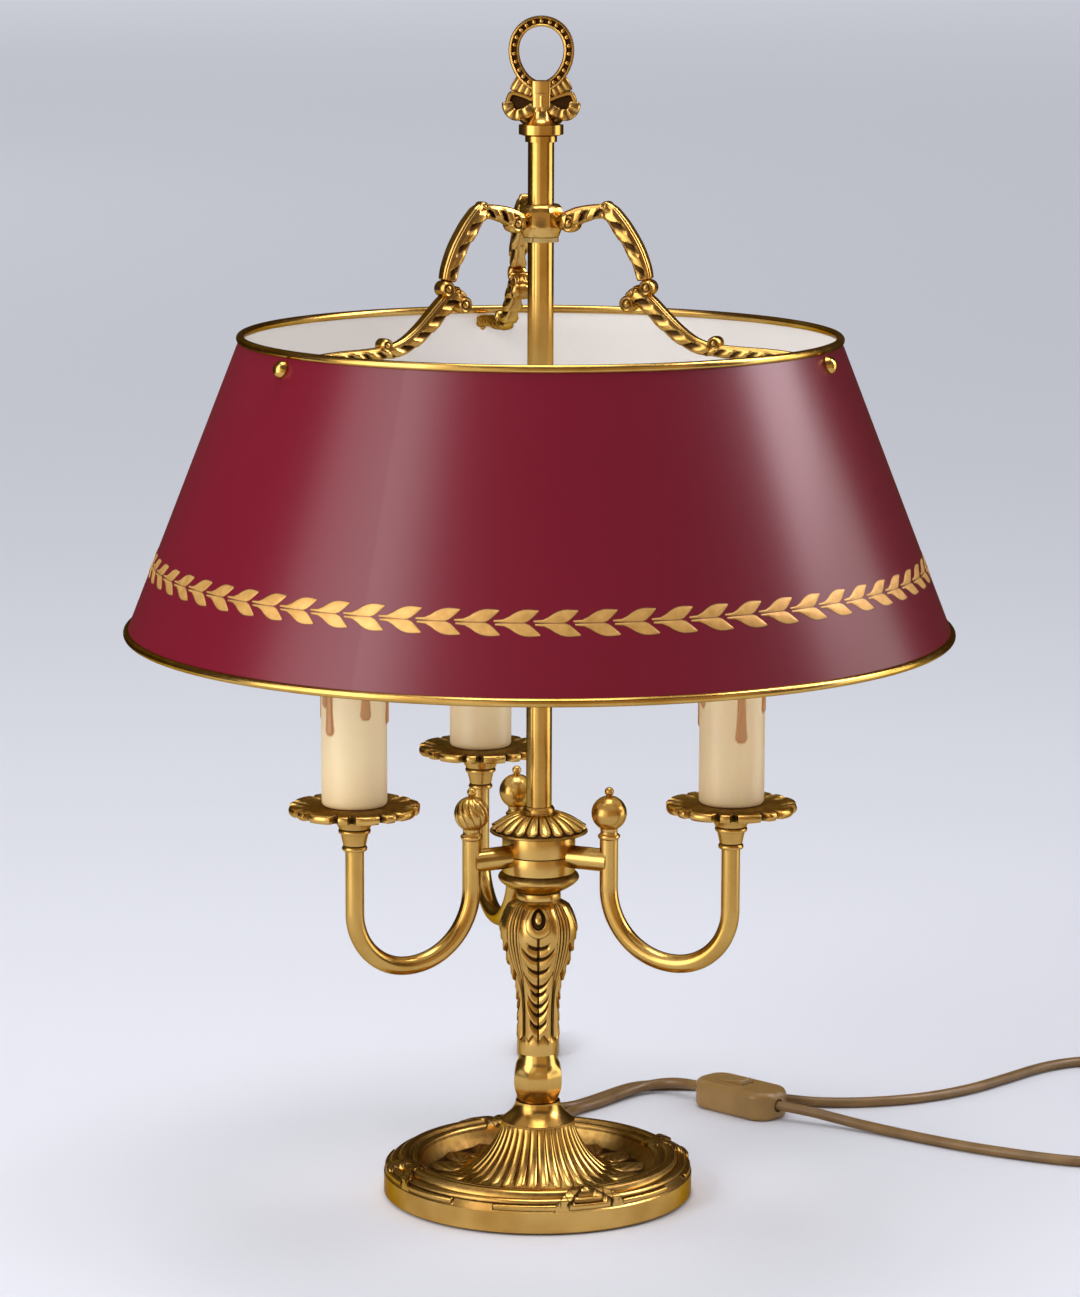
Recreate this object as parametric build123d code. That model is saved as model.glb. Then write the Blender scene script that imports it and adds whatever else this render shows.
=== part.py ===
from build123d import *
from math import asin, atan2, cos, pi, radians, sin, sqrt, tan, tau
import os

# Bouillotte lamp. Millimetres, +Z up, origin at the middle of the foot's underside. The viewer of
# the lamp's front stands on -Y. Azimuths run from +X towards +Y, seen from above.

# ---- Fits ----
seat_gap = 0.05      # radial clearance of turned pieces threaded on the centre nipple
running_gap = 0.05   # radial clearance of the pieces that slide or turn
thrust_gap = 0.1     # axial clearance between pieces that turn on each other

# ---- Foot ----
felt_margin = 4.0     # from the edge of the felt to the edge of the foot
felt_thickness = 1.2
foot_radius = 85.0
foot_band_top = 13.2
foot_step = 1.5
rim_top = 22.5
dish_radius = 61.6
dish_floor = 10.2
flare_foot_radius = 47.0
flare_top_radius = 19.8
flare_top = 41.5
foot_wall = 4.2
flare_web = 7.0
weight_inner_radius = 24.0
weight_gap = 1.0
lead_slot_gap = 0.8   # clearance of the slots that the lead runs in under the foot

# ---- Centre nipple, nut and washer ----
nipple_radius = 5.0
nipple_bore = 3.9
nipple_below = 13.0   # length that hangs below the flare's web
nipple_above = 12.0   # length that reaches into the rod
nut_flats = 14.0
nut_height = 5.0
washer_radius = 10.0
washer_thickness = 1.2

# ---- Stem ----
bell_height = 10.5
knop_height = 27.0
knop_radius = 14.4
baluster_height = 87.0
baluster_radius = 21.1
baluster_foot_radius = 9.6
baluster_waist_radius = 12.2
baluster_neck_radius = 8.6

# ---- Hub ----
bowl_height = 15.0
bowl_radius = 22.0
hub_radius = 20.0
hub_wall = 2.5
hub_lower_height = 10.0
hub_upper_height = 12.0
dome_height = 14.5
dome_flange_radius = 26.8
dome_flange_height = 1.4

# ---- Candle arms ----
arm_azimuths = (-25.5, 107.0, 210.5)
arm_names = ("right", "back", "left")
arm_tube_radius = 5.0
arm_bore = 3.9
arm_inner_radius = 42.2
arm_outer_radius = 113.9
arm_inner_bend = 38.5
arm_outer_bend = 32.5
arm_drop = 53.0       # from the link's axis down to the lowest stretch
arm_stub = 12.0       # inner upright above the link's axis
link_radius = 6.25
link_reach = 6.0      # length of the link inside the hub's wall
cup_rise = 14.0       # cup's seat above the link's axis
cup_height = 21.0
cup_radius = 8.0
cup_waist = 5.9
tray_radius = 35.5
tray_thickness = 4.0
tray_lobes = 16
ball_radius = 9.6
ball_collar_radius = 5.5
ball_collar_height = 5.2
ball_nib_radius = 3.0
ball_spigot = 8.0

# ---- Candles ----
sleeve_radius = 17.5
sleeve_wall = 1.8
sleeve_height = 88.0
holder_radius = 13.4
holder_neck = 8.5
holder_thread = 10.0
holder_height = 80.0
socket_radius = 7.1
socket_depth = 27.0
cap_radius = 6.9
cap_height = 25.0
bulb_radius = 17.5
bulb_height = 74.0

# ---- Rod and finial ----
rod_radius = 7.0
rod_above_collar = 33.0   # from the top of the spider's collar to the rod's end
finial_neck_radius = 8.5
finial_neck_height = 3.0
finial_collar_radius = 11.9
finial_collar_height = 6.0
finial_spigot = 12.0
finial_stem_radius = 3.2
bow_height = 17.0       # from the collar's top to the oval's lowest point
oval_width = 35.5
oval_height = 40.9
oval_band = 5.8
oval_depth = 6.5
knot_radius = 4.5
knot_height = 14.0
bow_half_width = 20.0
bow_loop_height = 14.0
bow_band = 3.0

# ---- Shade ----
shade_bottom_radius = 224.7   # over the beads
shade_top_radius = 162.8
shade_bottom = 313.5
shade_height = 162.6
bead_radius = 2.25
shade_sheet = 0.6
bead_slot_gap = 0.05
bead_facets = 22              # flats round a bead's section
screw_drop = 10.1             # shade screws below the shade's top

# ---- Shade spider ----
spider_azimuths = (-24.0, 102.0, 216.0)
spider_rise = 69.0            # foot of the arms to the middle of the collar
scroll_radius = 4.0
spider_ball_radius = 5.6
collar_radius = 12.3
collar_foot_radius = 9.6
collar_height = 20.0
bush_radius = 8.2
bush_flange_radius = 9.6
bush_flange_height = 2.4
bush_short = 3.0              # the bush ends this far below the collar's top
set_screw_azimuth = 64.0
set_screw_radius = 2.0
set_screw_head_radius = 3.4
set_screw_head_length = 6.0
set_screw_gap = 0.6           # head clear of the collar when tight
shade_screw_radius = 1.6
shade_screw_length = 7.0
shade_nut_radius = 4.75
shade_nut_height = 5.0

# ---- Switch on the cord ----
switch_centre = (119.8, 163.1)
switch_turn = -43.0
switch_length = 58.0
switch_width = 28.5
switch_height = 17.2
switch_corner = 11.5
switch_split = 8.6
switch_entry_gap = 0.9
switch_wall = 2.0
switch_top_round = 4.0
switch_bottom_round = 3.0
rocker_length = 17.0
rocker_width = 10.5
rocker_gap = 0.4
rocker_pin_radius = 1.5
rocker_pin_depth = 4.5
rocker_tilt = 7.0
rocker_proud = 1.6
rocker_root = 2.4
rocker_offset = -4.0
rocker_pin_drop = 5.4         # from the switch's top down to the rocker's pin
bearing_width = 6.0
bearing_drop = 2.6            # from the pin down to the foot of its bearing block
switch_screw_radius = 1.5
switch_screw_spot = (19.5, 7.4)
switch_screw_head_radius = 2.8
switch_screw_head_level = 2.0
switch_pillar_radius = 3.2

# ---- Cord ----
cord_radius = 3.0
cord_exit_azimuth = 80.5
cord_exit_height = 6.0
gland_radius = 4.6
gland_shoulder = 0.9      # step between the gland's flange and its neck in the wall
gland_length = 9.0
inner_lead_radius = 2.4
coil_centre = (404.0, 85.0)
coil_middle_radius = 33.0
coil_turns_across = 2
coil_turns_up = 2
plug_centre = (0.0, 298.0)
plug_turn = 90.0
plug_length = 36.0
plug_width = 26.0
plug_thickness = 13.7
plug_corner = 6.0
plug_round = 2.5
plug_relief_length = 16.0
plug_relief_radius = 5.2      # at the plug; the relief's free end is as thin as plug_relief_end
plug_relief_end = 3.9
pin_radius = 2.0
pin_length = 19.0
pin_spacing = 19.0

# ---- Places that follow ----
felt_radius = foot_radius - felt_margin
bell_bottom = flare_top
knop_bottom = bell_bottom + bell_height
baluster_bottom = knop_bottom + knop_height
bowl_bottom = baluster_bottom + baluster_height
hub_bottom = bowl_bottom + bowl_height
link_level = hub_bottom + hub_lower_height
hub_top = link_level + hub_upper_height
rod_bottom = hub_top + dome_height
cup_bottom = link_level + cup_rise
tray_bottom = cup_bottom + cup_height
candle_bottom = tray_bottom + tray_thickness
shade_top = shade_bottom + shade_height
lower_bead = (shade_bottom_radius - bead_radius, shade_bottom + bead_radius)
upper_bead = (shade_top_radius - bead_radius, shade_top - bead_radius)
shade_slope = (lower_bead[0] - upper_bead[0]) / (upper_bead[1] - lower_bead[1])
screw_level = shade_top - screw_drop
collar_middle = screw_level + spider_rise
collar_bottom = collar_middle - collar_height / 2
collar_top = collar_middle + collar_height / 2
rod_top = collar_top + rod_above_collar

nodes = {}


def turned(*outline):
    """A solid of revolution about Z from (radius, height) points."""
    return revolve(make_face(Polyline(*[(r, 0, z) for r, z in outline], close=True)), Axis.Z)


def turned_smooth(curve, *rest):
    """The same, with a smooth curve through the first points and straight lines through the rest."""
    smooth = Spline(*[(r, 0, z) for r, z in curve])
    straight = Polyline(*[(r, 0, z) for r, z in (curve[-1], *rest, curve[0])])
    return revolve(make_face([smooth, straight]), Axis.Z)


def disc(radius, low, high):
    """A solid cylinder on the Z axis between two levels."""
    return Pos(0, 0, (low + high) / 2) * Cylinder(radius, high - low)


def ring(outer, inner, low, high):
    """A tube on the Z axis between two levels."""
    return disc(outer, low, high) - disc(inner, low - 1, high + 1)


def around(solid, azimuth):
    """The solid, built over +X, turned to its azimuth."""
    return Rot(0, 0, azimuth) * solid


def group(solids):
    """Separate solids kept together in one node."""
    return Compound(children=list(solids))


def wall_radius(level):
    """Radius of the middle of the shade's sheet at a level."""
    return lower_bead[0] - shade_slope * (level - lower_bead[1])


# ---- Foot ----
def foot_casting():
    """The cast foot: plain band, reeded rim, dish and the flare that carries the stem."""
    rim_middle = (foot_radius - foot_step + dish_radius) / 2
    rim = ThreePointArc(
        (foot_radius - foot_step, 0, foot_band_top),
        (rim_middle, 0, rim_top),
        (dish_radius, 0, foot_band_top + 1),
    )
    flare = Spline(
        (flare_foot_radius, 0, dish_floor),
        (flare_foot_radius - 12, 0, dish_floor + 6),
        (flare_top_radius + 4.5, 0, flare_top - 13),
        (flare_top_radius, 0, flare_top),
    )
    outside = [
        Line((0, 0, flare_top), (0, 0, felt_thickness)),
        Polyline(
            (0, 0, felt_thickness),
            (foot_radius, 0, felt_thickness),
            (foot_radius, 0, foot_band_top),
            (foot_radius - foot_step, 0, foot_band_top),
        ),
        rim,
        Polyline(
            (dish_radius, 0, foot_band_top + 1),
            (dish_radius - 1, 0, dish_floor),
            (flare_foot_radius, 0, dish_floor),
        ),
        flare,
        Line((flare_top_radius, 0, flare_top), (0, 0, flare_top)),
    ]
    body = revolve(make_face(outside), Axis.Z)
    pocket = disc(foot_radius - foot_wall, felt_thickness - 1, dish_floor - foot_wall)
    under_rim = ring(foot_radius - 2 * foot_wall, dish_radius + 1.4 * foot_wall, 0, foot_band_top)
    under_flare = turned(
        (0, 0),
        (flare_foot_radius - 3 * foot_wall, 0),
        (flare_foot_radius - 3 * foot_wall, dish_floor - foot_wall),
        (nut_flats * 0.8, flare_top - flare_web),
        (0, flare_top - flare_web),
    )
    body -= pocket + under_rim + under_flare
    channel_width = 2 * (inner_lead_radius + lead_slot_gap)
    channel_top = cord_exit_height + inner_lead_radius + 0.3
    channel = Pos(foot_radius / 2, 0, channel_top / 2)
    channel *= Box(foot_radius - 2 * foot_wall, channel_width, channel_top)
    gland_hole = Pos(foot_radius, 0, cord_exit_height) * Rot(0, 90, 0)
    gland_hole *= Cylinder(gland_radius - gland_shoulder + seat_gap, 4 * foot_wall)
    body -= around(channel + gland_hole, cord_exit_azimuth)
    return body - disc(nipple_radius + seat_gap, 0, flare_top + 1)


def foot_weight():
    """The iron ring that weighs the foot down, slotted for the lead."""
    top = dish_floor - foot_wall - 0.1
    body = ring(foot_radius - foot_wall - weight_gap, weight_inner_radius, felt_thickness, top)
    slot_width = 2 * (inner_lead_radius + lead_slot_gap)
    slot = Pos(foot_radius / 2, 0, top) * Box(foot_radius, slot_width, 3 * top)
    return body - around(slot, cord_exit_azimuth)


nodes["foot_felt"] = disc(felt_radius, 0, felt_thickness)
nodes["foot_casting"] = foot_casting()
nodes["foot_weight"] = foot_weight()

# ---- Centre nipple with its washer and nut ----
web_bottom = flare_top - flare_web
nipple_bottom = web_bottom - nipple_below
nipple_top = rod_bottom + nipple_above
nut_top = web_bottom - washer_thickness
nipple = ring(nipple_radius, nipple_bore, nipple_bottom, nipple_top)
for azimuth in arm_azimuths:
    nipple -= around(
        Pos(nipple_radius, 0, link_level) * Rot(0, 90, 0) * Cylinder(2.3, 2 * nipple_radius), azimuth
    )
nodes["centre_nipple"] = nipple
nodes["foot_washer"] = ring(washer_radius, nipple_radius + seat_gap, nut_top, web_bottom)
nut_blank = Pos(0, 0, nut_top - nut_height) * extrude(
    RegularPolygon(nut_flats / 2, 6, major_radius=False), nut_height
)
nodes["foot_nut"] = nut_blank - disc(nipple_radius + seat_gap, 0, nut_top + 1)


# ---- Stem ----
def bell():
    """The trumpet-shaped piece under the knop."""
    neck = knop_radius - 2.2
    curve = [
        (flare_top_radius + 0.3, bell_bottom),
        (neck + 3.6, bell_bottom + 0.35 * bell_height),
        (neck + 0.6, bell_bottom + 0.75 * bell_height),
        (neck, knop_bottom),
    ]
    inside = nipple_radius + seat_gap
    return turned_smooth(curve, (inside, knop_bottom), (inside, bell_bottom))


def knop():
    """The eight-sided knop."""
    levels = (
        (knop_radius - 2.4, 0),
        (knop_radius, 0.3),
        (knop_radius, 0.55),
        (knop_radius - 3.1, 0.84),
        (baluster_foot_radius, 1),
    )
    faces = [
        Pos(0, 0, knop_bottom + share * knop_height) * RegularPolygon(radius, 8, False, rotation=22.5)
        for radius, share in levels
    ]
    return loft(faces, ruled=True) - disc(nipple_radius + seat_gap, knop_bottom - 1, baluster_bottom + 1)


def baluster():
    """The leaf-carved baluster: narrow foot, slim waist, full shoulder and neck."""
    outline = (
        (baluster_foot_radius, 0),
        (baluster_waist_radius - 0.6, 0.1),
        (baluster_waist_radius, 0.25),
        (baluster_waist_radius + 3.0, 0.46),
        (baluster_radius - 2.2, 0.61),
        (baluster_radius, 0.78),
        (baluster_radius - 1.9, 0.91),
        (baluster_neck_radius, 1),
    )
    curve = [(radius, baluster_bottom + share * baluster_height) for radius, share in outline]
    inside = nipple_radius + seat_gap
    return turned_smooth(curve, (inside, bowl_bottom), (inside, baluster_bottom))


nodes["bell"] = bell()
nodes["faceted_knop"] = knop()
nodes["leaf_baluster"] = baluster()


# ---- Hub ----
def hub_bowl():
    """The bowl that carries the canister."""
    inside = nipple_radius + seat_gap
    curve = [
        (baluster_neck_radius, bowl_bottom + 4),
        (baluster_neck_radius + 3.0, bowl_bottom + 5.5),
        (bowl_radius - 6.5, bowl_bottom + 9.5),
        (bowl_radius - 0.5, hub_bottom - 1.8),
    ]
    rest = [
        (bowl_radius, hub_bottom - 1.8),
        (bowl_radius, hub_bottom),
        (inside, hub_bottom),
        (inside, bowl_bottom),
        (baluster_neck_radius, bowl_bottom),
    ]
    return turned_smooth(curve, *rest)


def link_bores(radius):
    """The radial bores that hold the links, one for each arm."""
    bore = Pos(hub_radius, 0, link_level) * Rot(0, 90, 0) * Cylinder(radius, 2 * hub_radius)
    return [around(bore, azimuth) for azimuth in arm_azimuths]


def hub_half(low, high, floor_level):
    """One half of the split canister: a cup with a floor or a roof."""
    body = ring(hub_radius, hub_radius - hub_wall, low, high)
    body += ring(hub_radius - hub_wall, nipple_radius + seat_gap, *floor_level)
    for bore in link_bores(link_radius):
        body -= bore
    return body


nodes["hub_bowl"] = hub_bowl()
nodes["hub_lower_half"] = hub_half(hub_bottom, link_level, (hub_bottom, hub_bottom + 2.5))
nodes["hub_upper_half"] = hub_half(link_level, hub_top, (hub_top - 3, hub_top))
dome_curve = [
    (dome_flange_radius - 1.6, hub_top + dome_flange_height),
    (dome_flange_radius - 6.5, hub_top + dome_flange_height + 5.6),
    (dome_flange_radius - 13.5, rod_bottom - 2.6),
    (rod_radius + 0.8, rod_bottom),
]
nodes["hub_dome"] = turned_smooth(
    dome_curve,
    (nipple_radius + seat_gap, rod_bottom),
    (nipple_radius + seat_gap, hub_top),
    (dome_flange_radius, hub_top),
    (dome_flange_radius, hub_top + dome_flange_height),
)

# ---- Candle arms ----
upright_top = link_level + arm_stub
arm_bottom = link_level - arm_drop
holder_top = candle_bottom + holder_height
tube_top = candle_bottom + holder_thread


def arm_path(start, *ends):
    """The middle line of an arm from a start, round both bends, to the level of its outer end."""
    corners = (
        start,
        (arm_inner_radius, 0, arm_bottom),
        (arm_outer_radius, 0, arm_bottom),
        (arm_outer_radius, 0, *ends),
    )
    return FilletPolyline(*corners, radius=[arm_inner_bend, arm_outer_bend])


def piped(path, radius):
    """A round bar along a path."""
    return sweep(Plane(origin=path @ 0, z_dir=path % 0) * Circle(radius), path=path)


def arm_tube():
    """The bent tube, with a window for the wires where the link meets it."""
    path = arm_path((arm_inner_radius, 0, upright_top), tube_top)
    tube = piped(path, arm_tube_radius) - piped(path, arm_bore)
    window = Pos(arm_inner_radius - arm_tube_radius, 0, link_level) * Rot(0, 90, 0)
    return tube - window * Cylinder(3.0, 2 * arm_tube_radius)


def arm_link():
    """The short tube from the hub to the upright, brazed round the upright."""
    start = hub_radius - link_reach
    middle = (start + arm_inner_radius) / 2
    link = Pos(middle, 0, link_level) * Rot(0, 90, 0) * Cylinder(link_radius, arm_inner_radius - start)
    bore = Pos(middle, 0, link_level) * Rot(0, 90, 0) * Cylinder(arm_bore, arm_inner_radius - start + 2)
    upright = Pos(arm_inner_radius, 0, link_level) * Cylinder(arm_tube_radius, 4 * link_radius)
    return link - bore - upright


def arm_wire():
    """The flex from the hub through the link and the arm to the lampholder."""
    corners = (
        (hub_radius - link_reach - 5, 0, link_level),
        (arm_inner_radius, 0, link_level),
        (arm_inner_radius, 0, arm_bottom),
        (arm_outer_radius, 0, arm_bottom),
        (arm_outer_radius, 0, tube_top + 20),
    )
    return piped(FilletPolyline(*corners, radius=[5.0, arm_inner_bend, arm_outer_bend]), 1.75)


def arm_ball():
    """The ball that closes the inner upright, with its collar, nib and spigot."""
    middle = upright_top + ball_collar_height + ball_radius - 0.8
    ball = Pos(0, 0, middle) * Sphere(ball_radius)
    ball += Pos(0, 0, middle + ball_radius) * Sphere(ball_nib_radius)
    ball += disc(ball_collar_radius, upright_top, upright_top + ball_collar_height)
    ball += disc(arm_bore - seat_gap, upright_top - ball_spigot, upright_top)
    return Pos(arm_inner_radius, 0, 0) * ball


def candle_cup():
    """The trumpet-shaped cup under the drip tray."""
    inside = arm_tube_radius + seat_gap
    ring_height = 4.6
    curve = [
        (cup_waist, cup_bottom + 5.5),
        (cup_waist + 0.2, cup_bottom + 9),
        (cup_radius, tray_bottom - ring_height),
    ]
    rest = [
        (cup_radius - 1.15, tray_bottom - ring_height),
        (cup_radius - 1.15, tray_bottom),
        (inside, tray_bottom),
        (inside, cup_bottom),
        (cup_waist + 0.6, cup_bottom),
        (cup_waist + 0.6, cup_bottom + 5.5),
    ]
    return Pos(arm_outer_radius, 0, 0) * turned_smooth(curve, *rest)


def drip_tray():
    """The scalloped tray that catches the wax."""
    lobe_radius = 1.3 * pi * tray_radius / tray_lobes
    outline = Circle(tray_radius - 0.7 * lobe_radius)
    outline += PolarLocations(tray_radius - lobe_radius, tray_lobes) * Circle(lobe_radius)
    tray = Pos(0, 0, tray_bottom) * extrude(outline, tray_thickness)
    tray -= disc(arm_tube_radius + seat_gap, tray_bottom - 1, candle_bottom + 1)
    return Pos(arm_outer_radius, 0, 0) * tray


def candle_sleeve():
    """The imitation candle round the lampholder."""
    sleeve = ring(sleeve_radius, sleeve_radius - sleeve_wall, candle_bottom, candle_bottom + sleeve_height)
    return Pos(arm_outer_radius, 0, 0) * sleeve


def lampholder():
    """The candle lampholder, screwed on the end of the arm's tube."""
    holder = turned(
        (arm_tube_radius + seat_gap, candle_bottom),
        (holder_neck, candle_bottom),
        (holder_neck, candle_bottom + 20),
        (holder_radius, candle_bottom + 28),
        (holder_radius, holder_top),
        (socket_radius, holder_top),
        (socket_radius, holder_top - socket_depth),
        (arm_bore, holder_top - socket_depth),
        (arm_bore, tube_top),
        (arm_tube_radius + seat_gap, tube_top),
    )
    return Pos(arm_outer_radius, 0, 0) * holder


def bulb_cap():
    """The screw cap of a bulb."""
    return Pos(arm_outer_radius, 0, 0) * disc(cap_radius, holder_top - cap_height, holder_top)


def bulb_glass():
    """The candle-shaped glass of a bulb."""
    def flame(inset):
        curve = [
            (cap_radius - 0.4 - inset, holder_top),
            (bulb_radius - 2 - inset, holder_top + 0.2 * bulb_height),
            (bulb_radius - inset, holder_top + 0.4 * bulb_height),
            (bulb_radius - 6 - inset, holder_top + 0.75 * bulb_height),
            (1.6 - inset, holder_top + bulb_height - inset),
        ]
        return turned_smooth(curve, (0, holder_top + bulb_height - inset), (0, holder_top))

    return Pos(arm_outer_radius, 0, 0) * (flame(0) - flame(0.9))


makers = {
    "arm_tube": arm_tube,
    "candle_cup": candle_cup,
    "drip_tray": drip_tray,
    "candle_sleeve": candle_sleeve,
    "bulb_glass": bulb_glass,
}
for maker_name, maker in makers.items():
    made = maker()
    for azimuth, arm_name in zip(arm_azimuths, arm_names):
        nodes[f"{maker_name}_{arm_name}"] = around(made, azimuth)
grouped = {
    "arm_links": arm_link,
    "arm_balls": arm_ball,
    "arm_wires": arm_wire,
    "lampholders": lampholder,
    "bulb_caps": bulb_cap,
}
for maker_name, maker in grouped.items():
    made = maker()
    nodes[maker_name] = group([around(made, azimuth) for azimuth in arm_azimuths])
block_seat = hub_bottom + 2.5
nodes["connector_block"] = around(Pos(12, 0, block_seat + 4) * Box(8, 8, 8), 45)

# ---- Rod and finial ----
rod_bore = nipple_radius + seat_gap
nodes["lamp_rod"] = ring(rod_radius, rod_bore, rod_bottom, rod_top)
finial_collar_bottom = rod_top + finial_neck_height
finial_collar_top = finial_collar_bottom + finial_collar_height
oval_bottom = finial_collar_top + bow_height


def finial_collar():
    """The turned collar that plugs the rod and carries the bow."""
    curve = [
        (finial_collar_radius - 2.2, finial_collar_top),
        (finial_collar_radius - 5.5, finial_collar_top + 2.6),
        (finial_stem_radius + 1.0, finial_collar_top + 7),
    ]
    rest = [
        (finial_stem_radius + 0.05, finial_collar_top + 7),
        (finial_stem_radius + 0.05, finial_collar_bottom),
        (0, finial_collar_bottom),
        (0, rod_top - finial_spigot),
        (rod_bore - seat_gap, rod_top - finial_spigot),
        (rod_bore - seat_gap, rod_top),
        (finial_neck_radius, rod_top),
        (finial_neck_radius, finial_collar_bottom),
        (finial_collar_radius, finial_collar_bottom + 1.0),
        (finial_collar_radius, finial_collar_top),
    ]
    return turned_smooth(curve, *rest)


def oval_plate(half_width, half_height, middle_level, depth, across=0.0):
    """An upright elliptical plate that faces the front."""
    face = Pos(across, depth / 2, middle_level) * Rot(90, 0, 0) * Ellipse(half_width, half_height)
    return extrude(face, depth, dir=(0, -1, 0))


def finial_ring():
    """The oval ring with its ribbon bow, knot and stem, cast in one."""
    middle = oval_bottom + oval_height / 2
    plate = oval_plate(oval_width / 2, oval_height / 2, middle, oval_depth)
    hole = oval_plate(oval_width / 2 - oval_band, oval_height / 2 - oval_band, middle, 3 * oval_depth)
    body = plate - hole
    loop_half = (bow_half_width - knot_radius + 1.0) / 2
    loop_middle = oval_bottom - 0.5 * bow_loop_height
    for side in (-1, 1):
        across = side * (bow_half_width - loop_half)
        loop = oval_plate(loop_half, bow_loop_height / 2, loop_middle, 0.8 * oval_depth, across)
        gap = oval_plate(loop_half - bow_band, bow_loop_height / 2 - bow_band, loop_middle, 9, across)
        body += loop - gap
    knot_bottom = oval_bottom - 0.65 * knot_height
    knot = disc(knot_radius, knot_bottom, knot_bottom + knot_height)
    knot = fillet(knot.edges().filter_by(GeomType.CIRCLE), 0.45 * knot_radius)
    return body + knot + disc(finial_stem_radius, finial_collar_bottom, knot_bottom + 2)


nodes["finial_collar"] = finial_collar()
nodes["finial_ring"] = finial_ring()

# ---- Shade ----
lean = atan2(shade_slope, 1.0)


def sheet_outline(half_thickness):
    """The section of the shade's sheet between the middles of the two beads."""
    out, up = half_thickness * cos(lean), half_thickness * sin(lean)
    return [
        (lower_bead[0] - out, lower_bead[1] - up),
        (lower_bead[0] + out, lower_bead[1] + up),
        (upper_bead[0] + out, upper_bead[1] + up),
        (upper_bead[0] - out, upper_bead[1] - up),
    ]


def on_shade(solid, azimuth):
    """The solid, built on +Z, set square on the sheet at a shade screw."""
    spot = Plane(
        origin=(wall_radius(screw_level), 0, screw_level),
        x_dir=(0, 1, 0),
        z_dir=(cos(lean), 0, sin(lean)),
    )
    return around(spot.location * solid, azimuth)


def shade_wall():
    """The rolled sheet cone, with a hole for each shade screw."""
    wall = turned(*sheet_outline(shade_sheet / 2))
    for azimuth in spider_azimuths:
        wall -= on_shade(Cylinder(shade_screw_radius + 0.2, 6), azimuth)
    return wall


def bead(middle, way):
    """A round bead with the slot that takes the edge of the sheet; way is 1 where the sheet rises from it."""
    half_slot = shade_sheet / 2 + bead_slot_gap
    mouth = asin(half_slot / bead_radius)

    def spot(along, across):
        """A point of the section: along the sheet from the bead's middle, and across it, outwards."""
        along *= way
        out = middle[0] - along * sin(lean) + across * cos(lean)
        return (out, 0, middle[1] + along * cos(lean) + across * sin(lean))

    section = [spot(0, -half_slot), spot(0, half_slot)]
    for step in range(bead_facets + 1):
        angle = mouth + (tau - 2 * mouth) * step / bead_facets
        section.append(spot(bead_radius * cos(angle), bead_radius * sin(angle)))
    return revolve(make_face(Polyline(*section, close=True)), Axis.Z)


nodes["shade_wall"] = shade_wall()
nodes["shade_lower_bead"] = bead(lower_bead, 1)
nodes["shade_upper_bead"] = bead(upper_bead, -1)

# ---- Shade spider ----
# Each scroll is drawn by shares of the reach from the rod's axis to the sheet, and of the rise above the
# shade screws. Bends and curls are multiples of the scroll's own radius.
spider_reach = wall_radius(screw_level)
upper_scroll = ((0.067, 1.036), (0.134, 1.087), (0.208, 1.109), (0.284, 0.993), (0.339, 0.797), (0.373, 0.565))
lower_scroll = ((0.312, 0.46), (0.367, 0.462), (0.44, 0.28), (0.538, 0.1), (0.623, 0.075), (0.764, 0.055))
curls = ((0.241, 1.13, 0.75), (0.315, 0.41, 1.1), (0.623, 0.14, 1.3))
bends = (2.0, 2.0, 2.25, 3.0, 4.0, 4.5)


def on_scroll(reach_share, rise_share):
    """A point of the scrolls' outline."""
    return (reach_share * spider_reach, 0, screw_level + rise_share * spider_rise)


def scroll(points, *last):
    """A round bar through points of the outline."""
    corners = [on_scroll(*point) for point in points] + list(last)
    radii = [scroll_radius * bend for bend in bends[: len(corners) - 2]]
    return piped(FilletPolyline(*corners, radius=radii), scroll_radius)


def spider_arm():
    """One arm of the spider: two scrolls that meet at a ball, and the foot under the sheet."""
    foot_end = (spider_reach + 2, 0, screw_level)
    arm = scroll(upper_scroll) + scroll(lower_scroll, foot_end)
    arm += Pos(*on_scroll(*upper_scroll[-1])) * Sphere(spider_ball_radius)
    for reach_share, rise_share, size in curls:
        curl = Rot(90, 0, 0) * Cylinder(size * scroll_radius, 1.8 * scroll_radius)
        arm += Pos(*on_scroll(reach_share, rise_share)) * curl
    arm += on_shade(Pos(0, 0, -shade_screw_length / 2) * Cylinder(5.0, shade_screw_length + 1), 0)
    arm -= on_shade(Cylinder(shade_screw_radius + 0.05, 2 * shade_screw_length), 0)
    sheet_inside = shade_sheet / 2 / cos(lean)
    low, high = screw_level - 20, shade_top
    beyond = turned(
        (wall_radius(low) - sheet_inside, low),
        (shade_bottom_radius + 20, low),
        (shade_bottom_radius + 20, high),
        (wall_radius(high) - sheet_inside, high),
    )
    return arm - beyond - disc(collar_radius, collar_bottom, collar_top + 20)


def set_screw_at(solid):
    """The solid, built along +Z from the rod's axis, laid out to the set screw's azimuth."""
    return around(Pos(0, 0, collar_middle) * Rot(0, 90, 0) * solid, set_screw_azimuth)


def spider_collar():
    """The collar that carries the arms and turns on the bush."""
    inside = bush_radius + running_gap
    low = collar_bottom + bush_flange_height + thrust_gap
    collar = turned(
        (inside, low),
        (collar_foot_radius, low),
        (collar_radius, collar_bottom + 0.45 * collar_height),
        (collar_radius, collar_top - 1.2),
        (collar_radius - 1.2, collar_top),
        (inside, collar_top),
    )
    return collar - set_screw_at(Pos(0, 0, collar_radius) * Cylinder(set_screw_radius + running_gap, 12))


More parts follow.
